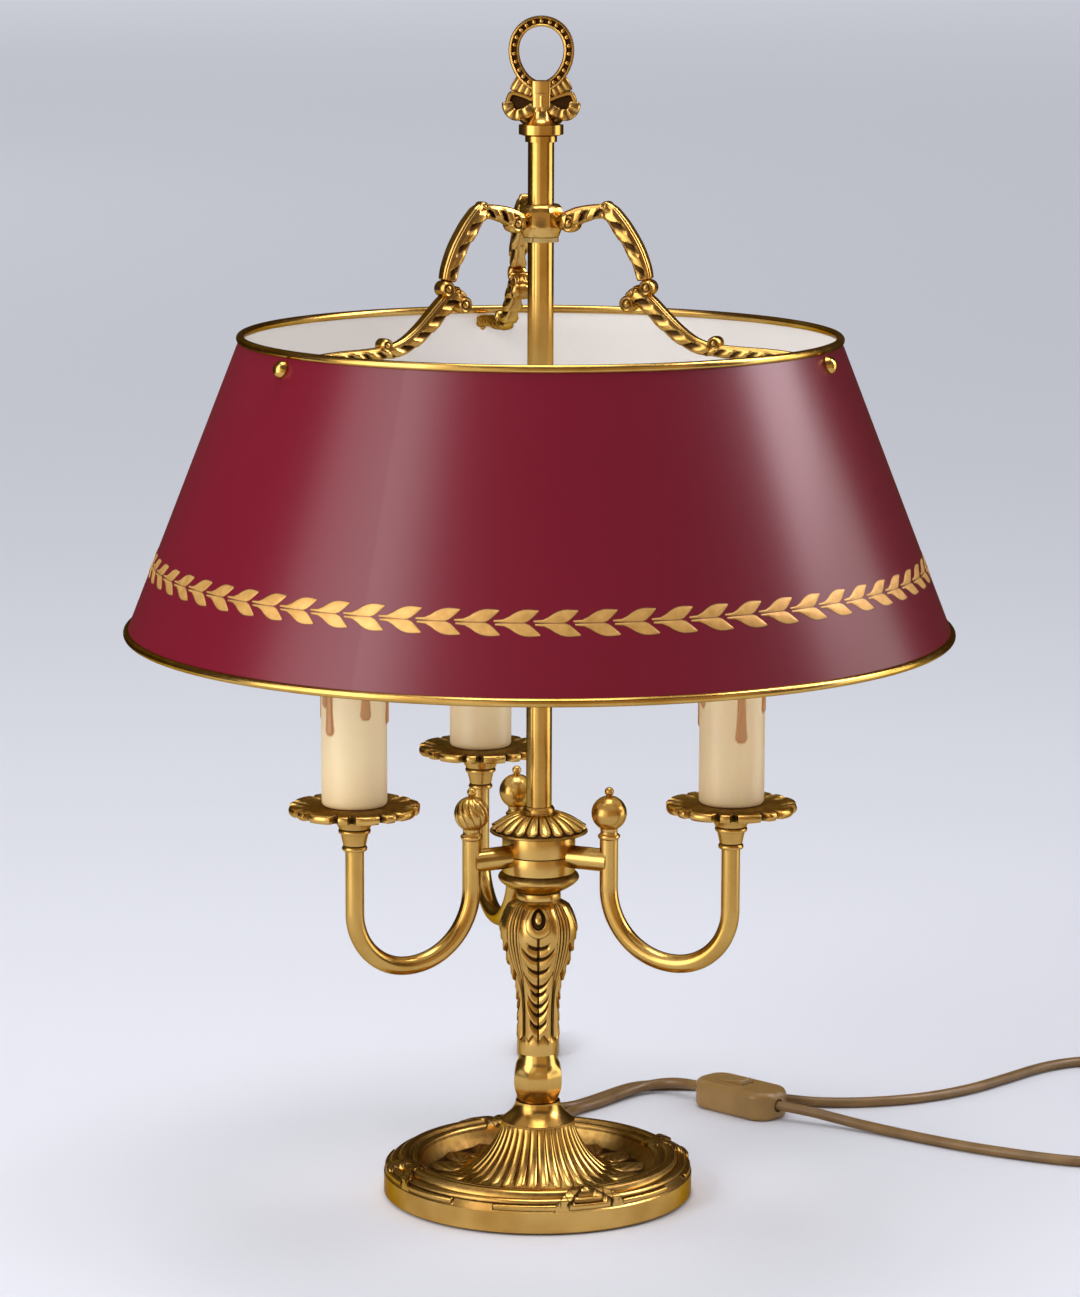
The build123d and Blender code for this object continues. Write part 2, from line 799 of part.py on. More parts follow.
def collar_bush():
    """The split bush that grips the rod."""
    inside = rod_radius + running_gap
    bush = ring(bush_radius, inside, collar_bottom, collar_top - bush_short)
    bush += ring(bush_flange_radius, inside, collar_bottom, collar_bottom + bush_flange_height)
    slit = Pos(-bush_radius, 0, collar_middle) * Box(2 * bush_radius, 0.8, 2 * collar_height)
    return bush - around(slit, set_screw_azimuth)


def set_screw():
    """The knurled screw that presses the bush on the rod."""
    tip = bush_radius + 0.1
    head = collar_radius + set_screw_gap
    shank = disc(set_screw_radius, tip, head)
    return set_screw_at(shank + disc(set_screw_head_radius, head, head + set_screw_head_length))


nodes["spider_collar"] = spider_collar()
nodes["collar_bush"] = collar_bush()
nodes["collar_set_screw"] = set_screw()
arm_of_spider = spider_arm()
for azimuth, arm_name in zip(spider_azimuths, arm_names):
    nodes[f"spider_arm_{arm_name}"] = around(arm_of_spider, azimuth)
outside_of_sheet = shade_sheet / 2
stud_length = shade_screw_length - 0.5 + outside_of_sheet + 0.7 * shade_nut_height
stud = Pos(0, 0, stud_length / 2 - shade_screw_length + 0.5) * Cylinder(shade_screw_radius, stud_length)
nut_bore = disc(shade_screw_radius, 0, outside_of_sheet + 0.7 * shade_nut_height)
nut_curve = [
    (shade_nut_radius, outside_of_sheet + 1.2),
    (shade_nut_radius - 1.2, outside_of_sheet + 0.72 * shade_nut_height),
    (0.6, outside_of_sheet + shade_nut_height),
]
ball_nut = turned_smooth(
    nut_curve,
    (0, outside_of_sheet + shade_nut_height),
    (0, outside_of_sheet),
    (shade_nut_radius, outside_of_sheet),
)
nodes["shade_screws"] = group([on_shade(stud, azimuth) for azimuth in spider_azimuths])
nodes["shade_nuts"] = group([on_shade(ball_nut - nut_bore, azimuth) for azimuth in spider_azimuths])


# ---- Switch on the cord ----
def in_switch(solid):
    """The solid, built with the switch's length along X, moved to the switch."""
    return Pos(*switch_centre, 0) * Rot(0, 0, switch_turn) * solid


def rounded_block(inset, low, high):
    """A block with the switch's outline, smaller by the inset all round."""
    outline = RectangleRounded(
        switch_length - 2 * inset, switch_width - 2 * inset, switch_corner - inset
    )
    return Pos(0, 0, low) * extrude(outline, high - low)


pin_level = switch_height - rocker_pin_drop
pillar_spots = (switch_screw_spot, tuple(-place for place in switch_screw_spot))
screw_tip = switch_height - 4.6
cord_bore = Rot(0, 90, 0) * Cylinder(cord_radius + switch_entry_gap, switch_length + 2)
cord_bore = Pos(0, 0, switch_split) * cord_bore
whole = rounded_block(0, 0, switch_height)
whole = fillet(whole.faces().sort_by(Axis.Z)[-1].edges(), switch_top_round)
whole = fillet(whole.faces().sort_by(Axis.Z)[0].edges(), switch_bottom_round)
cavity = rounded_block(switch_wall, switch_wall, switch_height - switch_wall - 1)


def pillars(radius, low, high):
    """Round pillars for the switch's two screws, or what fills them."""
    return [Pos(x, y, 0) * disc(radius, low, high) for x, y in pillar_spots]


def switch_base():
    """The lower shell, with the pillars that the screws pass through."""
    shell = whole - cavity - Pos(0, 0, switch_split) * rounded_block(-1, 0, switch_height)
    for pillar in pillars(switch_pillar_radius, switch_wall - 0.5, switch_split):
        shell += pillar
    for hole in pillars(switch_screw_radius + seat_gap, -1, switch_height):
        shell -= hole
    for sink in pillars(switch_screw_head_radius + 2 * seat_gap, -1, switch_screw_head_level):
        shell -= sink
    return shell - cord_bore


def rocker_opening():
    """The size of the opening that the rocker tips in."""
    reach = rocker_length / 2 + (switch_height - pin_level) * sin(radians(rocker_tilt))
    return 2 * (reach + rocker_gap), rocker_width + 2 * rocker_gap


def switch_cover():
    """The upper shell, with the rocker's opening and its two bearing blocks."""
    shell = whole - cavity - rounded_block(-1, -1, switch_split)
    roof = switch_height - switch_wall
    for pillar in pillars(switch_pillar_radius, switch_split, roof):
        shell += pillar
    for hole in pillars(switch_screw_radius + seat_gap, -1, screw_tip + 0.4):
        shell -= hole
    opening_length, opening_width = rocker_opening()
    shell -= Pos(rocker_offset, 0, switch_height) * Box(opening_length, opening_width, switch_height - 6)
    bearing_foot = pin_level - bearing_drop
    for side in (-1, 1):
        across = side * (opening_width + rocker_pin_depth) / 2
        block = Pos(rocker_offset, across, (bearing_foot + roof) / 2)
        shell += block * Box(bearing_width, rocker_pin_depth, roof - bearing_foot)
    pin_bore = Cylinder(rocker_pin_radius + running_gap, opening_width + 2 * rocker_pin_depth - 1)
    shell -= Pos(rocker_offset, 0, pin_level) * Rot(90, 0, 0) * pin_bore
    return shell - cord_bore


def switch_rocker():
    """The rocker, at rest pressed down at the lamp's end."""
    height = switch_height + rocker_proud - pin_level + rocker_root
    body = Pos(0, 0, height / 2 - rocker_root) * Box(rocker_length, rocker_width, height)
    body = fillet(body.faces().sort_by(Axis.Z)[-1].edges(), 1.0)
    pin_span = rocker_width + 2 * rocker_pin_depth - 1.2
    body += Rot(90, 0, 0) * Cylinder(rocker_pin_radius, pin_span)
    return Pos(rocker_offset, 0, pin_level) * Rot(0, -rocker_tilt, 0) * body


def switch_screw(spot):
    """One of the countersunk screws that hold the shells together."""
    shank = disc(switch_screw_radius, switch_screw_head_level, screw_tip)
    head = disc(switch_screw_head_radius, switch_screw_head_level - 1.4, switch_screw_head_level)
    return Pos(*spot, 0) * (shank + head)


nodes["switch_base"] = in_switch(switch_base())
nodes["switch_cover"] = in_switch(switch_cover())
nodes["switch_rocker"] = in_switch(switch_rocker())
nodes["switch_screws"] = group([in_switch(switch_screw(spot)) for spot in pillar_spots])

# ---- Cord ----
exit_x, exit_y = cos(radians(cord_exit_azimuth)), sin(radians(cord_exit_azimuth))
turn_x, turn_y = cos(radians(switch_turn)), sin(radians(switch_turn))
inner_end = foot_radius - foot_wall


def along_exit(distance, level):
    """A point straight out of the foot, that far from the middle."""
    return (distance * exit_x, distance * exit_y, level)


def along_switch(distance, level):
    """A point on the switch's long axis, that far from its middle."""
    return (switch_centre[0] + distance * turn_x, switch_centre[1] + distance * turn_y, level)


def plug_point(distance, level):
    """A point on the plug's axis, that far ahead of its middle."""
    ahead_x, ahead_y = cos(radians(plug_turn)), sin(radians(plug_turn))
    return (plug_centre[0] + distance * ahead_x, plug_centre[1] + distance * ahead_y, level)


plug_level = plug_thickness / 2
floor_level = cord_radius
first_route = [
    along_exit(inner_end, cord_exit_height),
    along_exit(inner_end + 24, cord_exit_height),
    (16.5, 126, floor_level + 0.2),
    (17.5, 149, floor_level),
    (36, 167.5, floor_level),
    (50, 187, 3.6),
    (66, 202, 4.8),
    (86, 199, 7.9),
    along_switch(-switch_length / 2 + 2, switch_split),
]
second_route = [
    along_switch(switch_length / 2 - 2, switch_split),
    (157.5, 136.8, 7.5),
    (175, 128.5, 4.9),
    (193, 117, 3.4),
    (216, 99.5, floor_level),
    (243, 79.5, floor_level),
    (274, 62, floor_level),
    (305, 48.5, floor_level),
    (337, 44.5, floor_level),
    (370, 45.5, floor_level),
    (coil_centre[0] - 2, coil_centre[1] - coil_middle_radius - cord_radius, floor_level),
]
third_route = [
    (coil_centre[0] + coil_middle_radius + cord_radius, coil_centre[1] + 2, 3 * cord_radius),
    (441.5, 109, 6.6),
    (443, 137, 3.6),
    (440, 171, floor_level),
    (431, 206, floor_level),
    (414, 236, floor_level),
    (390, 259, floor_level),
    (361, 269, floor_level),
    (331, 266, floor_level),
    (307, 252, floor_level),
    (284, 227, floor_level),
    (258, 200, floor_level),
    (228, 180.5, floor_level),
    (196, 171, floor_level),
    (165, 170, floor_level),
    (140, 181, floor_level),
    (122, 197, floor_level),
    (103, 207.5, floor_level),
    (80, 208.5, floor_level),
    (58, 206.5, floor_level),
    (42, 186.5, floor_level),
    (28.5, 169, floor_level),
    (16.8, 157.2, floor_level),
    (1, 157.2, floor_level),
    (-10.1, 168.3, floor_level),
    (-9.5, 193, floor_level),
    (-1, 216, floor_level),
    plug_point(-plug_length / 2 - plug_relief_length - 23, plug_level),
    plug_point(-plug_length / 2 - plug_relief_length, plug_level),
]


def laid_cord(name, route):
    """A round cord along a route of straight runs and the largest arcs that they allow."""
    points = [Vector(*point) for point in route]
    runs = [b - a for a, b in zip(points, points[1:])]
    radii = []
    for before, after in zip(runs, runs[1:]):
        half_turn = radians(before.get_angle(after)) / 2
        radii.append(0.45 * min(before.length, after.length) / tan(half_turn))
    path = FilletPolyline(*points, radius=radii)
    solid = piped(path, cord_radius)
    share = solid.volume / (pi * cord_radius**2 * path.length)
    print(name, "length", round(path.length, 1), "volume share", round(share, 4))
    print("  radii", [round(radius) for radius in radii])
    return solid


nodes["cord_lamp_lead"] = laid_cord("cord_lamp_lead", first_route)
nodes["cord_mains_lead"] = laid_cord("cord_mains_lead", second_route)
nodes["cord_return"] = laid_cord("cord_return", third_route)
coil_across = 2 * coil_turns_across * cord_radius
coil_up = 2 * coil_turns_up * cord_radius
coil_section = Rot(90, 0, 0) * RectangleRounded(coil_across, coil_up, cord_radius)
coil_section = Pos(coil_middle_radius, 0, coil_up / 2) * coil_section
nodes["cord_coil"] = Pos(*coil_centre, 0) * revolve(coil_section, Axis.Z)

gland = disc(gland_radius, foot_radius, foot_radius + gland_length)
gland += disc(gland_radius - gland_shoulder, inner_end, foot_radius)
gland = fillet(gland.edges().sort_by(Axis.Z)[-1], 1.2)
gland -= disc(cord_radius + seat_gap, 0, 2 * foot_radius)
nodes["cord_gland"] = around(Pos(0, 0, cord_exit_height) * Rot(0, 90, 0) * gland, cord_exit_azimuth)
inner_path = FilletPolyline(
    (inner_end, 0, cord_exit_height),
    (0, 0, cord_exit_height),
    (0, 0, link_level - 2),
    radius=[14.0],
)
nodes["supply_lead"] = around(piped(inner_path, inner_lead_radius), cord_exit_azimuth)


# ---- Plug ----
def at_plug(solid):
    """The solid, built pointing along +X from the plug's middle, moved to the plug."""
    return Pos(*plug_centre, 0) * Rot(0, 0, plug_turn) * solid


def plug_body():
    """The moulded plug with its tapered strain relief."""
    body = extrude(RectangleRounded(plug_length, plug_width, plug_corner), plug_thickness)
    body = fillet(body.faces().sort_by(Axis.Z)[-1].edges(), plug_round)
    body = fillet(body.faces().sort_by(Axis.Z)[0].edges(), plug_round)
    sunk = 2.0
    relief = Pos(0, 0, (plug_relief_length - sunk) / 2)
    relief *= Cone(plug_relief_radius, plug_relief_end, plug_relief_length + sunk)
    return body + Pos(-plug_length / 2, 0, plug_level) * Rot(0, -90, 0) * relief


def plug_pin(side):
    """One of the two pins."""
    pin = Rot(0, 90, 0) * Cylinder(pin_radius, pin_length)
    return Pos((plug_length + pin_length) / 2, side * pin_spacing / 2, plug_level) * pin


nodes["plug_body"] = at_plug(plug_body())
nodes["plug_pins"] = group([at_plug(plug_pin(side)) for side in (-1, 1)])

# ---- Write every node ----
os.makedirs("parts", exist_ok=True)
for node_name, solid in nodes.items():
    solid.label = node_name
    export_step(solid, f"parts/{node_name}.step")
print(len(nodes), "nodes")
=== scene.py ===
import math

import bmesh
import bpy
from mathutils import Matrix, Vector


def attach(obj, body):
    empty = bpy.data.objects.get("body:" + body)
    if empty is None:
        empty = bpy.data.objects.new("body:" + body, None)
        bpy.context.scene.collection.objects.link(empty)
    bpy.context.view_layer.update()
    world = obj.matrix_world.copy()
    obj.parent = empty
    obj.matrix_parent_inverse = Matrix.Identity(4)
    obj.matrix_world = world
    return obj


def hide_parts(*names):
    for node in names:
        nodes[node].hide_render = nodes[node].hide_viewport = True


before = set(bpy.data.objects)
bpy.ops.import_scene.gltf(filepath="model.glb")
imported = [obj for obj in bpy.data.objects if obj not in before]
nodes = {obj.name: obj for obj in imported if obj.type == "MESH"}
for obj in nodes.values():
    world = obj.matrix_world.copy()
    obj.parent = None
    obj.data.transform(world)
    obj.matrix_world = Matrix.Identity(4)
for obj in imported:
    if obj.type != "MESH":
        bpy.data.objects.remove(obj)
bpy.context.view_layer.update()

# ---- Room ----
# A pale matt floor runs on behind the lamp. A wide softbox lights it from the left, with a faint one on
# the right, one overhead and two over the floor far behind. Curved cards, unseen by the camera, stand
# round the lamp for its brass and enamel to mirror.


def placed(name, data):
    """A new object in the scene, made of this data."""
    made = bpy.data.objects.new(name, data)
    bpy.context.scene.collection.objects.link(made)
    return made


camera_data = bpy.data.cameras.new("camera")
camera_data.lens = 122.63
camera_data.sensor_width = 36.0
camera_place = Matrix.Translation((0.0, -2.3607, 0.7123))
camera_pan = Matrix.Rotation(math.radians(-0.008), 4, "Z")
camera_tilt = Matrix.Rotation(math.radians(80.2), 4, "X")
camera_roll = Matrix.Rotation(math.radians(0.193), 4, "Z")
camera = placed("camera", camera_data)
camera.matrix_world = camera_place @ (camera_pan @ camera_tilt) @ camera_roll
bpy.context.scene.camera = camera
bpy.context.scene.view_settings.view_transform = "Standard"

floor_half = 60.0
floor_mesh = bpy.data.meshes.new("floor")
floor_corners = [(x * floor_half, y * floor_half, 0.0) for x, y in ((-1, -1), (1, -1), (1, 1), (-1, 1))]
floor_mesh.from_pydata(floor_corners, [], [(0, 1, 2, 3)])
floor = placed("floor", floor_mesh)


def finish(name):
    """A new node material, its node tree and its shader."""
    made = bpy.data.materials.new(name)
    made.use_nodes = True
    return made, made.node_tree, made.node_tree.nodes["Principled BSDF"]


def settle(node, values):
    """Fixed values for a node's inputs, by their names."""
    for name, value in values.items():
        node.inputs[name].default_value = value


floor_finish, _, floor_shader = finish("floor_paper")
settle(floor_shader, {"Base Color": (0.68, 0.685, 0.745, 1.0), "Roughness": 0.9})
floor_mesh.materials.append(floor_finish)

room_light = bpy.data.worlds.new("room")
room_light.use_nodes = True
settle(room_light.node_tree.nodes["Background"], {"Color": (0.95, 0.97, 1.0, 1.0), "Strength": 0.64})
bpy.context.scene.world = room_light

card_reach = 1.15
card_steps = 12
low_row = (0.002, 0.75)
high_row = (0.75, 2.4)


def studio_card(name, start, end, row, strength, colour):
    """A curved card between two azimuths and two levels. Only the lamp's polished faces mirror it."""
    corners = []
    for step in range(card_steps + 1):
        angle = math.radians(start + (end - start) * step / card_steps)
        for level in row:
            corners.append((card_reach * math.cos(angle), card_reach * math.sin(angle), level))
    sides = [(2 * step, 2 * step + 2, 2 * step + 3, 2 * step + 1) for step in range(card_steps)]
    data = bpy.data.meshes.new(name)
    data.from_pydata(corners, [], sides)
    paper, _, paper_shader = finish(name)
    settle(paper_shader, {"Base Color": (0.0, 0.0, 0.0, 1.0), "Specular IOR Level": 0.0})
    settle(paper_shader, {"Emission Color": (*colour, 1.0), "Emission Strength": strength})
    data.materials.append(paper)
    card = placed(name, data)
    card.visible_camera = False
    card.visible_diffuse = False
    card.visible_transmission = False
    card.visible_volume_scatter = False
    card.visible_shadow = False


studio_card("card_left", -166.0, -128.0, low_row, 3.0, (1.0, 0.98, 0.94))
studio_card("card_front_left", -128.0, -100.0, low_row, 1.1, (1.0, 0.92, 0.80))
studio_card("card_front", -100.0, -34.0, low_row, 0.55, (1.0, 0.70, 0.38))
studio_card("card_dark_right", -34.0, -10.0, low_row, 0.10, (1.0, 0.66, 0.36))
studio_card("card_right", -10.0, 22.0, low_row, 2.6, (1.0, 0.98, 0.94))
studio_card("card_back", 22.0, 194.0, low_row, 0.045, (1.0, 0.64, 0.34))
studio_card("high_card_left", -166.0, -128.0, high_row, 2.6, (1.0, 0.93, 0.96))
studio_card("high_card_front", -128.0, -8.0, high_row, 0.16, (1.0, 0.75, 0.70))
studio_card("high_card_right", -8.0, 16.0, high_row, 11.0, (1.0, 0.90, 0.95))
studio_card("high_card_back", 16.0, 194.0, high_row, 0.05, (1.0, 0.64, 0.34))


def softbox(name, place, aim, width, height, power, colour=(1.0, 1.0, 1.0)):
    """A rectangular soft light, aimed at a point."""
    data = bpy.data.lights.new(name, "AREA")
    data.shape = "RECTANGLE"
    data.size = width
    data.size_y = height
    data.energy = power
    data.color = colour
    lamp = placed(name, data)
    lamp.location = place
    lamp.rotation_euler = (Vector(aim) - Vector(place)).to_track_quat("-Z", "Y").to_euler()


lamp_middle = (0.0, 0.0, 0.35)
daylight = (0.98, 0.98, 1.0)
softbox("softbox_left", (-1.9, -1.5, 1.5), lamp_middle, 1.0, 1.5, 33.0)
softbox("softbox_right", (2.1, -0.3, 1.3), lamp_middle, 0.5, 1.4, 2.5)
softbox("softbox_top", (0.0, 0.1, 2.4), (0.0, 0.1, 0.45), 1.0, 1.0, 19.0)
softbox("softbox_far", (-16.0, 34.0, 16.0), (-14.0, 34.0, 0.0), 30.0, 50.0, 2600.0, daylight)
softbox("softbox_behind", (-5.0, 7.0, 4.0), (-4.0, 6.0, 0.0), 4.0, 4.0, 60.0, daylight)

# ---- Cord ----
# A round sleeved flex, gold-brown, leaves the back of the foot through a bush, passes through a moulded
# switch and ends in a moulded plug. What isn't needed is wound into a neat flat coil.
cord_radius = 0.003
gland_level = 0.006
gland_azimuth = math.radians(80.5)
gland_mouth = 0.0808
gland_straight = 0.1048
switch_middle = Vector((0.1198, 0.1631, 0.0))
switch_along = Vector((0.7314, -0.6820, 0.0))
switch_inlet = 0.027
switch_split = 0.0086
plug_level = 0.00685
coil_middle = Vector((0.404, 0.085, 0.0))
coil_outer, coil_inner = 0.036, 0.030
coil_turns = 4
points_per_turn = 16


def noise(tree, scale, detail=3.0):
    """A cloudy pattern fixed to the piece."""
    place = tree.nodes.new("ShaderNodeTexCoord")
    cloud = tree.nodes.new("ShaderNodeTexNoise")
    settle(cloud, {"Scale": scale, "Detail": detail})
    tree.links.new(place.outputs["Object"], cloud.inputs["Vector"])
    return cloud.outputs[0]


def ramp(tree, factor, *stops):
    """Colours that follow a factor; each stop is (place, colour)."""
    node = tree.nodes.new("ShaderNodeValToRGB")
    while len(node.color_ramp.elements) < len(stops):
        node.color_ramp.elements.new(0.5)
    for element, (place, colour) in zip(node.color_ramp.elements, stops):
        element.position = place
        element.color = (*colour, 1.0)
    tree.links.new(factor, node.inputs[0])
    return node.outputs[0]


def spread(tree, factor, low, high):
    """The factor, from 0 to 1, spread between two values."""
    node = tree.nodes.new("ShaderNodeMapRange")
    settle(node, {"To Min": low, "To Max": high})
    tree.links.new(factor, node.inputs["Value"])
    return node.outputs[0]


def skin(tree, shader, colour, roughness, grain, strength, depth):
    """Gives a shader its colour, its roughness and the small unevenness of its surface."""
    unevenness = tree.nodes.new("ShaderNodeBump")
    settle(unevenness, {"Strength": strength, "Distance": depth})
    tree.links.new(grain, unevenness.inputs["Height"])
    tree.links.new(unevenness.outputs[0], shader.inputs["Normal"])
    tree.links.new(colour, shader.inputs["Base Color"])
    tree.links.new(roughness, shader.inputs["Roughness"])


def plastic(name, light, dark, roughness):
    """A moulded or extruded plastic with a faint grain."""
    made, tree, shader = finish(name)
    colour = ramp(tree, noise(tree, 60.0), (0.35, dark), (0.65, light))
    haze = spread(tree, noise(tree, 900.0), roughness - 0.06, roughness + 0.06)
    skin(tree, shader, colour, haze, noise(tree, 1500.0), 0.15, 0.0001)
    return made


cord_finish = plastic("gold_brown_cord", (0.235, 0.128, 0.036), (0.170, 0.088, 0.022), 0.38)


def flex(name, route):
    """A round cord along one smooth line through the route's points."""
    data = bpy.data.curves.new(name, "CURVE")
    data.dimensions = "3D"
    line = data.splines.new("NURBS")
    line.points.add(len(route) - 1)
    for point, place in zip(line.points, route):
        point.co = (*place, 1.0)
    line.order_u = 3
    line.use_endpoint_u = True
    data.resolution_u = 12
    data.bevel_depth = cord_radius
    data.bevel_resolution = 6
    data.use_fill_caps = True
    data.materials.append(cord_finish)
    return placed(name, data)


exit_way = Vector((math.cos(gland_azimuth), math.sin(gland_azimuth), 0.0))
lamp_route = [
    (*(gland_mouth * exit_way).xy, gland_level),
    (*(gland_straight * exit_way).xy, gland_level),
    (0.0165, 0.126, 0.0032),
    (0.0175, 0.149, 0.003),
    (0.036, 0.1675, 0.003),
    (0.050, 0.187, 0.0036),
    (0.066, 0.202, 0.0048),
    (0.086, 0.199, 0.0079),
    (*(switch_middle - switch_inlet * switch_along).xy, switch_split),
]
mains_route = [
    (*(switch_middle + switch_inlet * switch_along).xy, switch_split),
    (0.1575, 0.1368, 0.0075),
    (0.175, 0.1285, 0.0049),
    (0.193, 0.117, 0.0034),
    (0.216, 0.0995, 0.003),
    (0.243, 0.0795, 0.003),
    (0.274, 0.062, 0.003),
    (0.305, 0.0485, 0.003),
    (0.337, 0.0445, 0.003),
    (0.370, 0.0455, 0.003),
]
for step in range(int((coil_turns + 0.25) * points_per_turn) + 1):
    turn = step / points_per_turn
    angle = math.tau * (turn - 0.25)
    # Two turns lie on the floor and close in; the other two lie on them and open out again.
    reach = coil_outer if turn < 1 or turn >= 3 else coil_inner
    level = cord_radius if turn < 2 else 3 * cord_radius
    mains_route.append(
        (coil_middle.x + reach * math.cos(angle), coil_middle.y + reach * math.sin(angle), level)
    )
mains_route += [
    (0.4415, 0.109, 0.0066),
    (0.443, 0.137, 0.0036),
    (0.440, 0.171, 0.003),
    (0.431, 0.206, 0.003),
    (0.414, 0.236, 0.003),
    (0.390, 0.259, 0.003),
    (0.361, 0.269, 0.003),
    (0.331, 0.266, 0.003),
    (0.307, 0.252, 0.003),
    (0.284, 0.227, 0.003),
    (0.258, 0.200, 0.003),
    (0.228, 0.1805, 0.003),
    (0.196, 0.171, 0.003),
    (0.165, 0.170, 0.003),
    (0.140, 0.181, 0.003),
    (0.122, 0.197, 0.003),
    (0.103, 0.2075, 0.003),
    (0.080, 0.2085, 0.003),
    (0.058, 0.2065, 0.003),
    (0.042, 0.1865, 0.003),
    (0.0285, 0.169, 0.003),
    (0.0168, 0.1572, 0.003),
    (0.001, 0.1572, 0.003),
    (-0.0101, 0.1683, 0.003),
    (-0.0095, 0.193, 0.003),
    (-0.001, 0.216, 0.003),
    (0.0, 0.241, plug_level),
    (0.0, 0.264, plug_level),
]
lamp_lead = flex("lamp_lead", lamp_route)
mains_lead = flex("mains_lead", mains_route)
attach(lamp_lead, "lamp")
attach(mains_lead, "lamp")
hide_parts("cord_lamp_lead")
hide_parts("cord_mains_lead", "cord_coil", "cord_return")


def dress(node, material):
    """Gives a node of the frame its finish."""
    mesh = nodes[node].data
    mesh.materials.clear()
    mesh.materials.append(material)


switch_finish = plastic("gold_brown_switch", (0.33, 0.185, 0.048), (0.275, 0.150, 0.036), 0.34)
gland_finish = plastic("dark_bush", (0.02, 0.015, 0.012), (0.012, 0.01, 0.008), 0.5)
for node in ("switch_base", "switch_cover", "switch_rocker", "plug_body"):
    dress(node, switch_finish)
dress("cord_gland", gland_finish)

# ---- Foot ----
# The foot is cast brass, chased and lacquered, with dark patina and painted shade in the hollows: a plain
# band, a rim of reeds tied with four crossed ribbons, a dish with plume tips and a fluted flare.
mm = 0.001
foot_radius = 85.0
band_top = 12.6
band_rows = 6
dish_floor = 10.3
flare_top = 41.5
flutes = 32
plumes = 16
# Each reed's middle and radius, the angles where its round starts and ends, and its steps.
reed_rounds = [((79.2, 16.4), 2.6, 12, 138, 12), ((73.5, 18.7), 3.5, 18, 160, 16)]
reed_rounds.append(((67.3, 18.3), 2.8, 24, 178, 14))
rim_middle, rim_half = 73.2, 11.9
panel_swell = 1.9
ties = [math.radians(-70 + 90 * count) for count in range(4)]
tie_reach = math.radians(37.0)
tie_spread = 33.0
tie_crossing = 0.62
tie_foot, tie_rise = 13.6, 9.3
hatch_pitch = 4.6
ribbon_flat, ribbon_half = 2.3, 3.9
plume_foot, plume_length, plume_rise = 40.0, 20.0, 2.1


def smooth_step(low, high, value):
    """0 below low, 1 above high, and an even S between them."""
    share = min(1.0, max(0.0, (value - low) / (high - low)))
    return share * share * (3.0 - 2.0 * share)


def drawn_line(points, steps):
    """A smooth line through (radius, height) points; a point given twice is a corner."""
    ends = [points[0], *points, points[-1]]
    line = []
    for before, start, end, after in zip(ends, ends[1:], ends[2:], ends[3:]):
        if start == end:
            continue
        for step in range(steps):
            t = step / steps
            spot = []
            for p, q, r, s in zip(before, start, end, after):
                bend = 2 * p - 5 * q + 4 * r - s
                twist = 3 * (q - r) + s - p
                spot.append(0.5 * (2 * q + (r - p) * t + bend * t * t + twist * t * t * t))
            line.append(tuple(spot))
    line.append(points[-1])
    return line


def round_line(middle, radius, first, last, steps):
    """Points of a round about a (radius, height) middle, from one angle in degrees to another."""
    spots = []
    for step in range(steps + 1):
        angle = math.radians(first + (last - first) * step / steps)
        spots.append((middle[0] + radius * math.cos(angle), middle[1] + radius * math.sin(angle)))
    return spots


def surface(name, blocks, body, material, corner=38.0):
    """One mesh piece made of blocks. A block is rows of (x, y, z, high) points in mm, each row a closed
    ring, and whether its last row joins its first. High is 1 on a polished crest, 0 in a dark hollow,
    where dark patina and painted shade go."""
    vertices, faces, highs = [], [], []
    for rows, loop in blocks:
        base, count = len(vertices), len(rows[0])
        for row in rows:
            vertices += [(x * mm, y * mm, z * mm) for x, y, z, high in row]
            highs += [high for x, y, z, high in row]
        for line in range(len(rows) if loop else len(rows) - 1):
            first, second = base + line * count, base + (line + 1) % len(rows) * count
            for column in range(count):
                after = (column + 1) % count
                faces.append((first + column, first + after, second + after, second + column))
        if not loop:
            last = base + (len(rows) - 1) * count
            faces.append(tuple(range(base, base + count))[::-1])
            faces.append(tuple(range(last, last + count)))
    mesh = bpy.data.meshes.new(name)
    mesh.from_pydata(vertices, [], faces)
    mesh.attributes.new("high", "FLOAT", "POINT").data.foreach_set("value", highs)
    shape = bmesh.new()
    shape.from_mesh(mesh)
    bmesh.ops.recalc_face_normals(shape, faces=shape.faces)
    shape.to_mesh(mesh)
    shape.free()
    mesh.shade_smooth()
    mesh.set_sharp_from_angle(angle=math.radians(corner))
    mesh.materials.append(material)
    piece = placed(name, mesh)
    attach(piece, body)
    return piece


def turned(profile, columns, relief=None, middle=(0.0, 0.0)):
    """Rows of points for a turned piece from its (radius, height) profile. The relief gives how far a
    point stands off the turned shape and how polished it is, from its row, angle, radius and height."""
    rows = []
    for index, (radius, height) in enumerate(profile):
        row = []
        for column in range(columns):
            angle = math.tau * column / columns
            out, up, high = relief(index, angle, radius, height) if relief else (0.0, 0.0, 1.0)
            x = middle[0] + (radius + out) * math.cos(angle)
            y = middle[1] + (radius + out) * math.sin(angle)
            row.append((x, y, height + up, high))
        rows.append(row)
    return rows


def polish(tree):
    """How polished each point of a surface is, from 0 in a dark hollow, with patina and painted shade, to 1
    on a crest.
    """
    mark = tree.nodes.new("ShaderNodeAttribute")
    mark.attribute_name = "high"
    return mark.outputs["Fac"]


